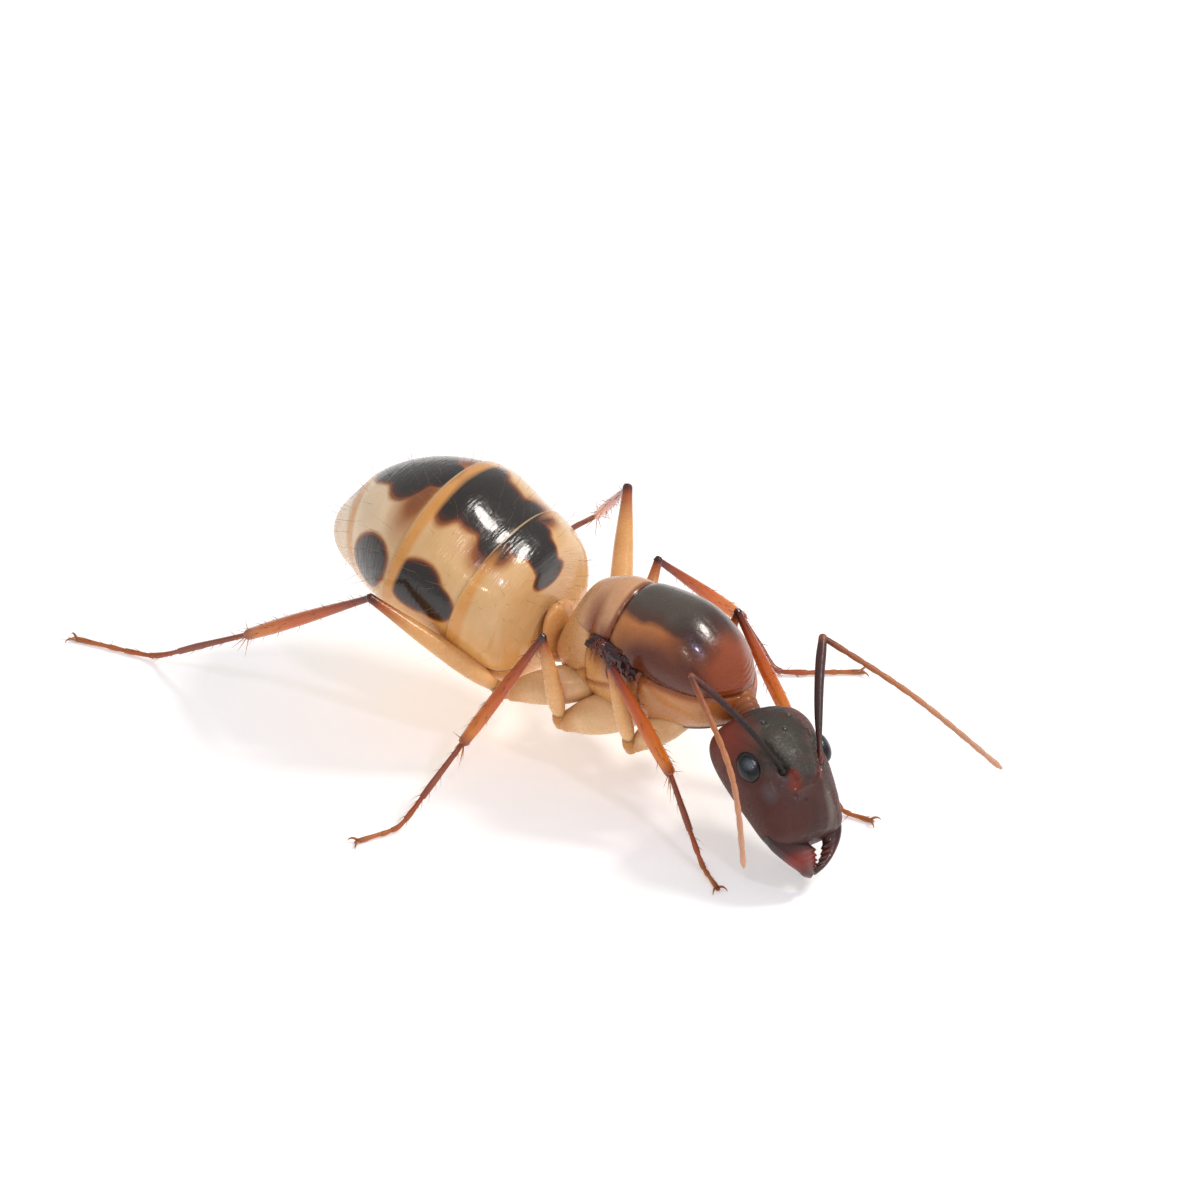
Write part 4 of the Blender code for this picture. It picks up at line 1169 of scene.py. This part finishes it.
def bristle_tree():
    """Plants bent, tapering bristles on a skin, leaning the way the skin's lie runs."""
    tree = bpy.data.node_groups.new("bristles", "GeometryNodeTree")
    for name, kind in (("Skin", "Geometry"), ("Per Square Millimetre", "Float"), ("Length", "Float"),
                       ("Thickness", "Float"), ("Rise", "Float"), ("Disorder", "Float"), ("Seed", "Int"),
                       ("Cuticle", "Material")):
        tree.interface.new_socket(name, in_out="INPUT", socket_type="NodeSocket" + kind)
    tree.interface.new_socket("Bristles", in_out="OUTPUT", socket_type="NodeSocketGeometry")
    given = add(tree, "NodeGroupInput").outputs
    density = add(tree, "ShaderNodeMath", {0: given["Per Square Millimetre"], 1: 1 / MM ** 2},
                  operation="MULTIPLY").outputs[0]
    spacing = add(tree, "ShaderNodeMath", {0: density, 1: -0.5}, operation="POWER").outputs[0]
    apart = add(tree, "ShaderNodeMath", {0: spacing, 1: 0.45}, operation="MULTIPLY").outputs[0]
    hairy = add(tree, "GeometryNodeInputNamedAttribute", {"Name": "hairy"}, data_type="FLOAT").outputs[0]
    points = add(tree, "GeometryNodeDistributePointsOnFaces",
                 {"Mesh": given["Skin"], "Distance Min": apart, "Density Max": density,
                  "Density Factor": hairy, "Seed": given["Seed"]}, distribute_method="POISSON")
    lie = add(tree, "GeometryNodeInputNamedAttribute", {"Name": "lie"}, data_type="FLOAT_VECTOR").outputs[0]
    rise = add(tree, "ShaderNodeVectorMath", {0: points.outputs["Normal"], 3: given["Rise"]},
               operation="SCALE").outputs[0]
    disorder = add(tree, "FunctionNodeRandomValue", {0: (-1.0,) * 3, 1: (1.0,) * 3, "Seed": given["Seed"]},
                   data_type="FLOAT_VECTOR").outputs[0]
    sway = add(tree, "ShaderNodeVectorMath", {0: disorder, 3: given["Disorder"]},
               operation="SCALE").outputs[0]
    level = add(tree, "ShaderNodeMath", {0: 1.0, 1: given["Rise"]}, operation="SUBTRACT").outputs[0]
    back = add(tree, "ShaderNodeVectorMath", {0: lie, 3: level}, operation="SCALE").outputs[0]
    upright = add(tree, "ShaderNodeVectorMath", {0: rise, 1: sway}, operation="ADD").outputs[0]
    heading = add(tree, "ShaderNodeVectorMath", {0: upright, 1: back}, operation="ADD").outputs[0]
    aimed = add(tree, "FunctionNodeAlignRotationToVector", {"Vector": heading}, axis="Z").outputs[0]
    turned = add(tree, "FunctionNodeAlignRotationToVector", {"Rotation": aimed, "Vector": lie},
                 axis="X", pivot_axis="Z").outputs[0]
    slender = add(tree, "ShaderNodeMath", {0: given["Thickness"], 1: given["Length"]},
                  operation="DIVIDE").outputs[0]
    half = add(tree, "ShaderNodeMath", {0: slender, 1: 0.5}, operation="MULTIPLY").outputs[0]
    tip = add(tree, "ShaderNodeMath", {0: slender, 1: 0.06}, operation="MULTIPLY").outputs[0]
    cone = add(tree, "GeometryNodeMeshCone", {"Vertices": 4, "Side Segments": 4, "Radius Top": tip,
                                              "Radius Bottom": half, "Depth": 1.0},
               fill_type="NONE").outputs[0]
    spot = add(tree, "ShaderNodeSeparateXYZ", {0: add(tree, "GeometryNodeInputPosition").outputs[0]}).outputs
    strand = add(tree, "ShaderNodeCombineXYZ", {axis: spot[axis] for axis in "XYZ"}).outputs[0]
    marked = add(tree, "GeometryNodeStoreNamedAttribute",
                 {"Geometry": cone, "Name": "strand", "Value": strand},
                 data_type="FLOAT_VECTOR", domain="POINT").outputs[0]
    bow = add(tree, "ShaderNodeMath", {0: spot["Z"], 1: 2.0}, operation="POWER").outputs[0]
    lean = add(tree, "ShaderNodeMath", {0: bow, 1: BRISTLE_BOW}, operation="MULTIPLY").outputs[0]
    offset = add(tree, "ShaderNodeCombineXYZ", {"X": lean}).outputs[0]
    bent = add(tree, "GeometryNodeSetPosition", {"Geometry": marked, "Offset": offset}).outputs[0]
    size = add(tree, "FunctionNodeRandomValue", {2: 0.6, 3: 1.15, "Seed": given["Seed"]},
               data_type="FLOAT").outputs[1]
    scale = add(tree, "ShaderNodeMath", {0: size, 1: given["Length"]}, operation="MULTIPLY").outputs[0]
    planted = add(tree, "GeometryNodeInstanceOnPoints", {"Points": points.outputs["Points"], "Instance": bent,
                                                         "Rotation": turned, "Scale": scale}).outputs[0]
    real = add(tree, "GeometryNodeRealizeInstances", {"Geometry": planted}).outputs[0]
    where = add(tree, "ShaderNodeSeparateXYZ", {0: add(tree, "GeometryNodeInputPosition").outputs[0]}).outputs
    lifted = add(tree, "ShaderNodeMath", {0: where["Z"], 1: GROUND_CLEARANCE * MM},
                 operation="MAXIMUM").outputs[0]
    resting = add(tree, "ShaderNodeCombineXYZ", {"X": where["X"], "Y": where["Y"], "Z": lifted}).outputs[0]
    settled = add(tree, "GeometryNodeSetPosition", {"Geometry": real, "Position": resting}).outputs[0]
    finished = add(tree, "GeometryNodeSetMaterial",
                   {"Geometry": settled, "Material": given["Cuticle"]}).outputs[0]
    add(tree, "NodeGroupOutput", {0: finished})
    return tree


def plant_bristles(name, skins, tree, cuticle):
    """Grow bristles from copies of skins, and keep them as one plain mesh with its unwrap."""
    ground = bmesh.new()
    mesh = bpy.data.meshes.new(name + "_ground")
    for skin in skins:
        skin.to_mesh(mesh)
        ground.from_mesh(mesh)
    bmesh.ops.recalc_face_normals(ground, faces=ground.faces)
    ground.to_mesh(mesh)
    ground.free()
    mesh.transform(TO_ROW)
    item = place_object(name, mesh)
    planting = item.modifiers.new("planting", "NODES")
    planting.node_group = tree
    values = dict(zip(BRISTLE_SIZES, BRISTLES[name]), Cuticle=cuticle)
    for socket in tree.interface.items_tree:
        if socket.in_out == "INPUT" and socket.name in values:
            planting[socket.identifier] = values[socket.name]
    bpy.context.view_layer.update()
    grown = bpy.data.meshes.new_from_object(item.evaluated_get(bpy.context.evaluated_depsgraph_get()))
    item.modifiers.clear()
    item.data = grown
    roots, strands = (np.zeros(len(grown.vertices) * 3) for _ in range(2))
    grown.attributes["unwrap"].data.foreach_get("vector", roots)
    grown.attributes["strand"].data.foreach_get("vector", strands)
    roots, strands = roots.reshape(-1, 3), strands.reshape(-1, 3)
    thick = np.abs(strands[:, 0]).max()
    local = np.stack((strands[:, 0] / (2 * thick) + 0.5, strands[:, 2]), axis=1)
    corners = np.zeros(len(grown.loops), dtype=int)
    grown.loops.foreach_get("vertex_index", corners)
    unwrap = grown.uv_layers.new(name="OFBake")
    unwrap.data.foreach_set("uv", (roots[:, :2] + local * TUFT_PATCH)[corners].ravel())
    grown.shade_smooth()
    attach(item, "root")


# ---------------------------------------------------------------- finishes

# Stains that the torn wings leave on the plates around them: along, around, half along, half around
WING_STAIN = ((5.0, 72.0, 1.25, 13.0), (4.3, 82.0, 0.9, 12.0))
# Painted shade, reddish brown, along the side of the scutellum: along, around, half along, half around
SCUTELLUM_PAINTED_SHADE = ((5.95, 54.0, 0.34, 20.0), (4.95, 62.0, 0.4, 10.0))


def flank_paint(base, low, warm, by_wing=False, with_scutellum_shade=False):
    """Pale cuticle, warmer towards its seams and the underside, with painted shade along the scutellum if
    asked.
    """
    def paint(tree):
        ground = ramp_down_the_side(tree, (0.0, base), (0.5, base), (0.9, low))
        relief = add(tree, "ShaderNodeAttribute", attribute_name="relief").outputs["Fac"]
        near = add(tree, "ShaderNodeMapRange", {"Value": relief, "From Min": 0.0, "From Max": -0.03,
                                                "To Max": 0.8}).outputs[0]
        ground = layered(tree, ground, linear(warm), near)
        if with_scutellum_shade:
            # painted shade along the side of the scutellum
            ground = stained(tree, ground, "#8A4832", *SCUTELLUM_PAINTED_SHADE, softness=0.9, wander=0.2)
        if by_wing:
            ground = stained(tree, ground, "#84391A", *WING_STAIN, softness=0.8, wander=0.2)
        return ground
    return paint


def pronotum_paint(tree):
    """Tan, redder towards the collar in front, with a dark lower rim."""
    ground = flank_paint("#CC905A", "#C98A54", "#A85A28")(tree)
    ground = stained(tree, ground, "#A04E20", (0.2, 95.0, 0.95, 55.0), softness=0.7)
    return stained(tree, ground, "#4A1E10", (2.0, PRONOTUM_RIM - 2.2, 2.4, 3.0), softness=0.5, wander=0.02)


def scutum_paint(tree):
    """Grey-black band down the middle, tan stripes beside it, brown sides and a red-brown front, and a patch
    of painted shade in front of the band.
    """
    ground = pigment_ramp(tree, patches(tree, ((0.9, 20.0, 1.9, 95.0),), softness=0.5),
                          (0.0, "#C07A44"), (0.5, "#A2582A"), (1.0, "#8E401C"))
    ground = stained(tree, ground, "#63301F", (3.2, 72.0, 1.5, 24.0), (2.2, 64.0, 0.8, 18.0), softness=0.45)
    band = patches(tree, ((3.95, 0.0, 1.45, 28.0), (3.1, 12.0, 0.55, 19.0)), softness=0.40)
    ground = pigment_ramp_over(tree, ground, band, (0.0, "#6A3018"), (0.45, "#50372A"), (0.85, "#4E443A"))
    # painted shade: a red-black patch on the front slope of the scutum, beside the band
    return stained(tree, ground, "#2E0A05", (2.38, 27.0, 0.48, 21.0), softness=0.8)


# Dark marks of the gaster: station, degrees from the top, half length in stations, half width
GASTER_SADDLES = (
    (1.42, 0.0, 0.40, 20.0), (2.05, 0.0, 0.84, 15.0), (2.62, 0.0, 0.42, 20.0),
    (3.85, 0.0, 0.92, 25.0), (4.50, 0.0, 0.42, 32.0), (3.22, 8.0, 0.40, 26.0),
    (5.66, 0.0, 0.45, 29.0), (6.10, 0.0, 0.66, 18.0), (5.20, 0.0, 0.30, 14.0),
    (7.50, 0.0, 0.40, 20.0),
)
GASTER_SPOTS = ((4.15, 79.0, 0.66, 17.0), (3.60, 82.0, 0.55, 12.0), (5.85, 82.0, 0.66, 20.0))
# Paler clouds of the same pigment, each group with its strength
FADED_CLOUDS = (
    (((5.24, 24.0, 0.34, 28.0),), 0.36),
    (((3.16, 29.0, 0.34, 14.0), (2.80, 25.0, 0.26, 11.0)), 0.52),
)
# Amber hind rims of the plates, and the thin pale hem of each
RIM_BANDS = ((2.86, 88.0, 0.16, 54.0), (4.86, 60.0, 0.18, 75.0), (6.88, 60.0, 0.18, 75.0),
             (8.88, 60.0, 0.2, 75.0))
HEMS = ((3.0, 0.0, 0.035, 40.0), (4.99, 0.0, 0.03, 150.0), (6.99, 0.0, 0.03, 150.0))


def gaster_paint(tree):
    """Cream plates with brown-black saddles and side spots, an amber hind rim on each, and a belly brightened
    by painted light.
    """
    # paler amber towards the underside; its last stop is pushed brighter, painted light that lifts the shade
    # over the belly
    ground = ramp_down_the_side(tree, (0.0, "#DDB27C"), (0.40, "#DFB681"), (0.55, "#E4AE6A"),
                                (0.75, "#FFC880"))
    ground = stained(tree, ground, "#EED3AE", (6.2, 45.0, 1.1, 60.0), softness=0.6)
    dark = patches(tree, GASTER_SADDLES + GASTER_SPOTS, softness=0.26, wander=0.045)
    for spots, strength in FADED_CLOUDS:
        cloud = patches(tree, spots, softness=0.7, wander=0.05)
        cloud = add(tree, "ShaderNodeMath", {0: cloud, 1: strength}, operation="MULTIPLY").outputs[0]
        dark = add(tree, "ShaderNodeMath", {0: dark, 1: cloud}, operation="MAXIMUM").outputs[0]
    colour = pigment_ramp_over(tree, ground, dark, (0.0, "#C58648"), (0.30, "#9A5826"), (0.50, "#4E2111"),
                               (0.74, "#281B15"), (1.0, "#211914"))
    colour = stained(tree, colour, "#DE9F58", *RIM_BANDS, softness=0.30, wander=0.015)
    return stained(tree, colour, "#C9A27A", *HEMS, softness=0.5, wander=0.0)


# Painted glints on the face, four pale dots where tiny bumps catch the light, and one dark dot of painted
# shade in a pit: along, sideways, radius, colour
FACE_GLINTS_AND_PIT_SHADE = (
    (2.16, -0.41, 0.022, "#8A7A74"), (2.54, -0.27, 0.020, "#7E706A"), (2.41, 0.48, 0.022, "#948A82"),
    (1.91, 0.44, 0.028, "#B8B0A8"), (2.44, -0.24, 0.050, "#1C0E0B"),
)


def head_paint(tree):
    """Near black, under an olive-grey painted sheen on top; red-brown cheeks and front; a red painted glow by
    the feelers; painted sheen, glints and pit shade on the face.
    """
    muzzle = (2.75, 60.0, 0.75, 70.0)
    ground = stained(tree, linear("#1F1A16"), "#4A2018", muzzle, softness=0.7)
    cheeks = (0.75, 86.0, 1.5, 44.0)
    ground = stained(tree, ground, "#5C2B20", cheeks, softness=0.7)
    # painted sheen: the crown's olive-grey stands in for the light it reflects
    painted_brow_sheen = (0.75, 0.0, 1.0, 42.0)
    ground = stained(tree, ground, "#312E24", painted_brow_sheen, softness=0.6)
    blotch = add(tree, "ShaderNodeTexNoise", {"Vector": surface_millimetres(tree), "Scale": 2.6,
                                              "Detail": 3.0}).outputs[0]
    blotched = add(tree, "ShaderNodeMapRange", {"Value": blotch, "From Min": 0.48, "From Max": 0.66,
                                                "To Max": 0.55}).outputs[0]
    ground = layered(tree, ground, linear("#4A1C12"), blotched)
    # painted glow: red where light shines through the thin cuticle by the feelers, stronger on the right
    painted_glow_by_feelers = ((1.88, -17.0, 0.12, 5.0), (2.06, -19.0, 0.12, 6.5), (1.95, 18.0, 0.10, 4.0))
    ground = stained(tree, ground, "#7A230A", *painted_glow_by_feelers, softness=1.0, mirrored=False)
    temples = (0.42, 62.0, 0.48, 24.0)
    ground = stained(tree, ground, "#7A2E1E", temples, softness=0.9)
    # painted sheen: a grey upright streak of reflected light on the left of the clypeus
    painted_sheen_strip = (2.72, 24.0, 0.40, 5.5)
    ground = stained(tree, ground, "#655E54", painted_sheen_strip, softness=0.9, mirrored=False)
    # painted sheen: a purple-grey spot of reflected light on the right side of the face
    painted_sheen_spot = (2.02, -52.0, 0.15, 7.0)
    ground = stained(tree, ground, "#544448", painted_sheen_spot, softness=1.0, mirrored=False)
    throat = (1.6, 180.0, 2.4, 60.0)
    ground = stained(tree, ground, "#4A2316", throat, softness=0.4)
    where = surface_millimetres(tree)
    # painted glints, and painted shade in one pit
    for along, left, radius, colour in FACE_GLINTS_AND_PIT_SHADE:
        centre = in_head(along, left, head_top(along, left))
        ground = dotted(tree, where, ground, colour, centre, radius * 0.6, radius * 1.3)
    return ground


# The eye's painted highlight, a soft blue-grey spot: how far it lies from the eye's middle (along, outwards,
# up), and its radii
PAINTED_HIGHLIGHT_OFFSET = (-0.02, 0.12, 0.20)
PAINTED_HIGHLIGHT_INNER, PAINTED_HIGHLIGHT_OUTER = 0.03, 0.19


def eye_finish():
    """Compound eye: black facets in hexagons, with a blue-grey painted highlight inside."""
    def paint(tree):
        ground = linear("#080A0D")
        where = surface_millimetres(tree)
        along, out, up = (middle + offset for middle, offset in zip(EYE_PLACE, PAINTED_HIGHLIGHT_OFFSET))
        # painted highlight on each eye
        for _, way in BOTH_SIDES:
            ground = dotted(tree, where, ground, "#56606A", in_head(along, way * out, up), PAINTED_HIGHLIGHT_INNER,
                            PAINTED_HIGHLIGHT_OUTER, strength=0.8)
        return ground
    return chitin("compound_eye_facets", paint, roughness=0.26, coat=0.0, grain=0.030, grain_depth=0.003,
                  seam_strength=0.0)


def seta_finish(name, root, tip):
    """Bristle chitin: stiff tapering hairs, darker at the root and clear amber at the tip."""
    material, tree, shader = new_material(name)
    strand = add(tree, "ShaderNodeAttribute", attribute_name="strand").outputs["Vector"]
    height = add(tree, "ShaderNodeSeparateXYZ", {0: strand}).outputs["Z"]
    tree.links.new(pigment_ramp(tree, height, (0.0, root), (1.0, tip)), shader.inputs["Base Color"])
    shader.inputs["Roughness"].default_value = 0.55
    shader.inputs["IOR"].default_value = 1.50
    return material


# Colours along the plainer pieces, from the base of each, at 0, to its far end, at 1
LENGTH_COLOURS = {
    # soft folded skin between plates: dull, and darker where it goes into the head
    "neck_membrane": ((0.0, "#A8622E"), (1.0, "#6A3218")),
    # thick broken wing roots: nearly black with sharp glints, red and clearer at the torn tips
    "torn_wing_sclerite": ((0.0, "#2A0F17"), (0.25, "#3E161A"), (0.45, "#5A2216"), (1.0, "#864020")),
    # a clear bead over dark pigment: one hard glint
    "ocellus_lens": ((0.0, "#2A1A14"), (1.0, "#3A241A")),
    # the hardest cuticle: dense, dark and smooth, wine red where the jaw is thinner; the left jaw's copy is
    # darker and less red, painted shade for the jaw in shade
    "mandible_hard_chitin_left": ((0.0, "#1E0C0A"), (0.30, "#35140F"), (0.52, "#54231A"), (0.75, "#4A2A22"),
                                  (1.0, "#34201A")),
    "mandible_hard_chitin_right": ((0.0, "#1E0A08"), (0.30, "#3A100B"), (0.52, "#7C1A0C"), (0.72, "#5E1C12"),
                                   (0.9, "#4A2018"), (1.0, "#2E1612")),
    # thin soft cuticle: light brown, and some light gets in
    "palp_chitin": ((0.0, "#5A2A18"), (1.0, "#8E5430")),
    # the stiff rods of the feelers: dark with a dull sheen, one of them red at its root; the right one is
    # darker along its length, painted shade for the rod in shade
    "scape_reddened_chitin": ((0.0, "#6A1C0E"), (0.10, "#4A140C"), (0.28, "#2C1110"), (0.5, "#361918"),
                              (0.93, "#4A2624"), (1.0, "#8A5236")),
    "scape_shaded_chitin": ((0.0, "#1A100E"), (0.5, "#261816"), (0.70, "#3C2120"), (0.95, "#5A2E26"),
                           (1.0, "#8A5236")),
    # cuticle under short dense down: matt as velvet, and paler towards the tip
    "whip_velvet_chitin": ((0.0, "#5A2A1C"), (0.10, "#94502C"), (0.4, "#BC7A50"), (1.0, "#CFA084")),
    # thin pale cuticle of the upper leg: warm and cloudy as amber, with a soft gloss
    "coxa_pale_chitin": ((0.0, "#EAC08E"), (0.75, "#ECC290"), (1.0, "#D89E68")),
    "femur_amber_chitin": ((0.0, "#D59B58"), (0.06, "#C98A48"), (0.14, "#EABA80"), (0.7, "#DEA668"),
                           (0.93, "#A8562A"), (0.98, "#5A2A1E")),
    # tougher cuticle of the lower leg: russet and glossy, dark at the knee, duller in the foot
    "tibia_russet_chitin": ((0.0, "#3E1610"), (0.05, "#6E2414"), (0.25, "#A84A1C"), (0.6, "#C8621E"),
                            (0.9, "#D67C2E"), (1.0, "#9A481C")),
    "tarsus_russet_chitin": ((0.0, "#8A4630"), (0.44, "#93503C"), (0.52, "#A04A28"), (0.9, "#B66C36"),
                             (1.0, "#9A5C30")),
}
PALE = {"glow": 0.35, "roughness": 0.27}        # thin cuticle that light gets into


def plain_chitin(name, **settings):
    """Chitin whose colour changes only from the base of a piece to its far end."""
    return chitin(name, length_ramp(*LENGTH_COLOURS[name]), **settings)


def build_trunk():
    """Thorax, neck, waist scale and torn wing bases, each in its own finish."""
    scutellum = flank_paint("#D2A078", "#C08A5A", "#6E3020", by_wing=True, with_scutellum_shade=True)
    pleuron = flank_paint("#DCA468", "#DCA468", "#B26A30", by_wing=True)
    propodeum = flank_paint("#D8A470", "#D49C60", "#B5713A")
    flank = {
        "pronotum": chitin("pronotum_polished_chitin", pronotum_paint, **PALE),
        "scutellum": chitin("scutellum_polished_chitin", scutellum, **PALE),
        "mesothorax": chitin("pleuron_pale_chitin", pleuron, **PALE),
        "propodeum": chitin("propodeum_pale_chitin", propodeum, **PALE),
    }
    build_thorax(flank, chitin("scutum_banded_chitin", scutum_paint, roughness=0.26, coat=0.25, glow=0.08,
                               seam_colour="#4A2014"))
    build_neck(plain_chitin("neck_membrane", roughness=0.5, coat=0.05))
    build_petiole(chitin("petiole_pale_chitin", flank_paint("#D8A266", "#D0985A", "#B5713A"), **PALE))
    build_wing_bases(plain_chitin("torn_wing_sclerite", roughness=0.12, coat=0.2, grain=0.16,
                                  grain_depth=0.020))


def build_head_and_feelers():
    """Head, jaws, palps and feelers. Gives back the skins of the whips, which carry down."""
    capsule = chitin("head_dull_chitin", head_paint, roughness=0.52, coat=0.02, grain=0.05,
                     grain_depth=0.004, seam_colour="#120A08", mottle=0.8)
    build_head(capsule, eye_finish(), plain_chitin("ocellus_lens", roughness=0.10, coat=1.0, grain_depth=0.0))
    # each jaw has its own copy of the finish; the left one is darker, painted shade
    build_jaws({side: plain_chitin("mandible_hard_chitin_" + side, roughness=0.32, coat=0.25, grain=0.05,
                                   grain_depth=0.002) for side, _ in BOTH_SIDES})
    build_palps(plain_chitin("palp_chitin", glow=0.2))
    # the right scape's copy is darker: painted shade
    scapes = {"left": plain_chitin("scape_reddened_chitin", roughness=0.42, coat=0.06),
              "right": plain_chitin("scape_shaded_chitin", roughness=0.62, coat=0.0)}
    return build_feelers(scapes, plain_chitin("whip_velvet_chitin", roughness=0.5, coat=0.05, glow=0.15))


def build_legs():
    """All six legs. Gives back the skins of the femora, the tibiae and the tarsi."""
    looks = {
        "coxa": plain_chitin("coxa_pale_chitin", **PALE),
        "femur": plain_chitin("femur_amber_chitin", glow=0.4, roughness=0.25),
        "tibia": plain_chitin("tibia_russet_chitin", glow=0.3, roughness=0.22, coat=0.3),
        "tarsus": plain_chitin("tarsus_russet_chitin", glow=0.15, roughness=0.32),
    }
    return [list(skins) for skins in zip(*(build_leg(name, joints, looks) for name, joints in LEGS.items()))]


def build_ant():
    """Every piece of the ant, and then the bristles on the pieces that have them."""
    build_trunk()
    whips = build_head_and_feelers()
    gaster = build_gaster(chitin("gaster_amber_chitin", gaster_paint, roughness=0.2, coat=0.4, glow=0.3,
                                 glow_depth=0.3, grain=0.06, grain_depth=0.001, seam_colour="#9A5A2A",
                                 seam_strength=0.5, mottle=0.35, striae=0.014))
    thighs, shins, feet = build_legs()
    tree = bristle_tree()
    golden = seta_finish("golden_setae", "#8A6644", "#B79A74")
    russet = seta_finish("russet_bristles", "#6A2A16", "#A8592C")
    plant_bristles("setae_gaster", gaster, tree, golden)
    plant_bristles("bristles_shins_and_feet", shins + feet, tree, russet)
    plant_bristles("setae_thighs", thighs, tree, golden)
    plant_bristles("down_feelers", list(whips.values()), tree, golden)


# ---------------------------------------------------------------- camera, floor and light

VIEW_TARGET = (2.31, 3.58, 2.27)    # the point that the camera looks at
VIEW_TURN = -54.0                   # degrees; 0 looks at the ant's face
VIEW_RISE = 35.0
VIEW_DISTANCE = 900.0
VIEW_WIDTH = 26.66                  # of the picture at the target
SENSOR_WIDTH = 36.0


def direction_from(turn, rise):
    """The way from the target to something that stands at a turn and a rise, in degrees."""
    turn, rise = math.radians(turn), math.radians(rise)
    return Vector((math.sin(turn) * math.cos(rise), -math.cos(turn) * math.cos(rise), math.sin(rise)))


def aim(item, place, target):
    """Stand a camera or a lamp at a place and point it at a target."""
    item.matrix_world = (Matrix.Translation(place)
                         @ (Vector(target) - Vector(place)).to_track_quat("-Z", "Y").to_matrix().to_4x4())


def build_camera():
    """A camera with a long lens, so that near and far legs keep their size."""
    lens = bpy.data.cameras.new("camera")
    lens.sensor_width = SENSOR_WIDTH
    lens.lens = SENSOR_WIDTH * VIEW_DISTANCE / VIEW_WIDTH
    lens.clip_start, lens.clip_end = 0.01, 10.0     # metres
    camera = place_object("camera", lens)
    target = row_place(VIEW_TARGET)
    aim(camera, target + direction_from(VIEW_TURN, VIEW_RISE) * VIEW_DISTANCE * MM, target)
    bpy.context.scene.camera = camera


# Lamps: the way they stand from the ant, distance, width, height, watts, colour
LAMPS = {
    "key_softbox": ((0.40, -0.46, 0.79), 110.0, 26.0, 21.0, 0.052, "#FFFAF2"),
    "small_flash": ((-0.24, -0.58, 0.78), 120.0, 8.0, 6.5, 0.017, "#E8E0FF"),
    "warm_window": ((-0.62, -0.38, 0.70), 120.0, 13.0, 6.0, 0.0065, "#FFEFD8"),
}
LAMP_TARGET = (0.0, 2.0, 3.0)       # the point that the lamps look at
ROOM_LIGHT = 0.60


def build_lamps():
    """A soft key lamp, two small ones that give the second glints, and the white room."""
    centre = row_place(LAMP_TARGET)
    for name, (way, distance, width, height, watts, colour) in LAMPS.items():
        light = bpy.data.lights.new(name, "AREA")
        light.shape = "ELLIPSE"
        light.size = width * MM
        light.size_y = height * MM
        light.energy = watts
        light.color = linear(colour)[:3]
        aim(place_object(name, light), centre + Vector(way).normalized() * distance * MM, centre)
    world = bpy.data.worlds.new("white_room")
    world.use_nodes = True
    bpy.context.scene.world = world
    sky = world.node_tree.nodes["Background"]
    sky.inputs["Color"].default_value = linear("#FCFCFD")
    sky.inputs["Strength"].default_value = ROOM_LIGHT


FLOOR_REACH = 1.5           # metres from the ant to each edge
CARD_GLOW = 0.33            # the card is thin, and lit a little from below


def build_floor():
    """A wide, matt, nearly white card."""
    mesh = bpy.data.meshes.new("floor")
    corners = [(x * FLOOR_REACH, y * FLOOR_REACH, 0) for x, y in ((-1, -1), (1, -1), (1, 1), (-1, 1))]
    mesh.from_pydata(corners, [], [(0, 1, 2, 3)])
    floor = place_object("floor", mesh)
    card, tree, shader = new_material("white_card")
    fibres = add(tree, "ShaderNodeTexNoise",
                 {"Vector": surface_millimetres(tree), "Scale": 0.8, "Detail": 4.0}).outputs[0]
    tint = pigment_ramp(tree, fibres, (0.3, "#F0F0EF"), (0.7, "#F5F4F3"))
    tree.links.new(tint, shader.inputs["Base Color"])
    shader.inputs["Emission Color"].default_value = linear("#FBFDFF")
    shader.inputs["Emission Strength"].default_value = CARD_GLOW
    shader.inputs["Roughness"].default_value = 0.9
    mesh.materials.append(card)


build_camera()
build_ant()
build_lamps()
build_floor()
bpy.context.scene.view_settings.view_transform = "Standard"
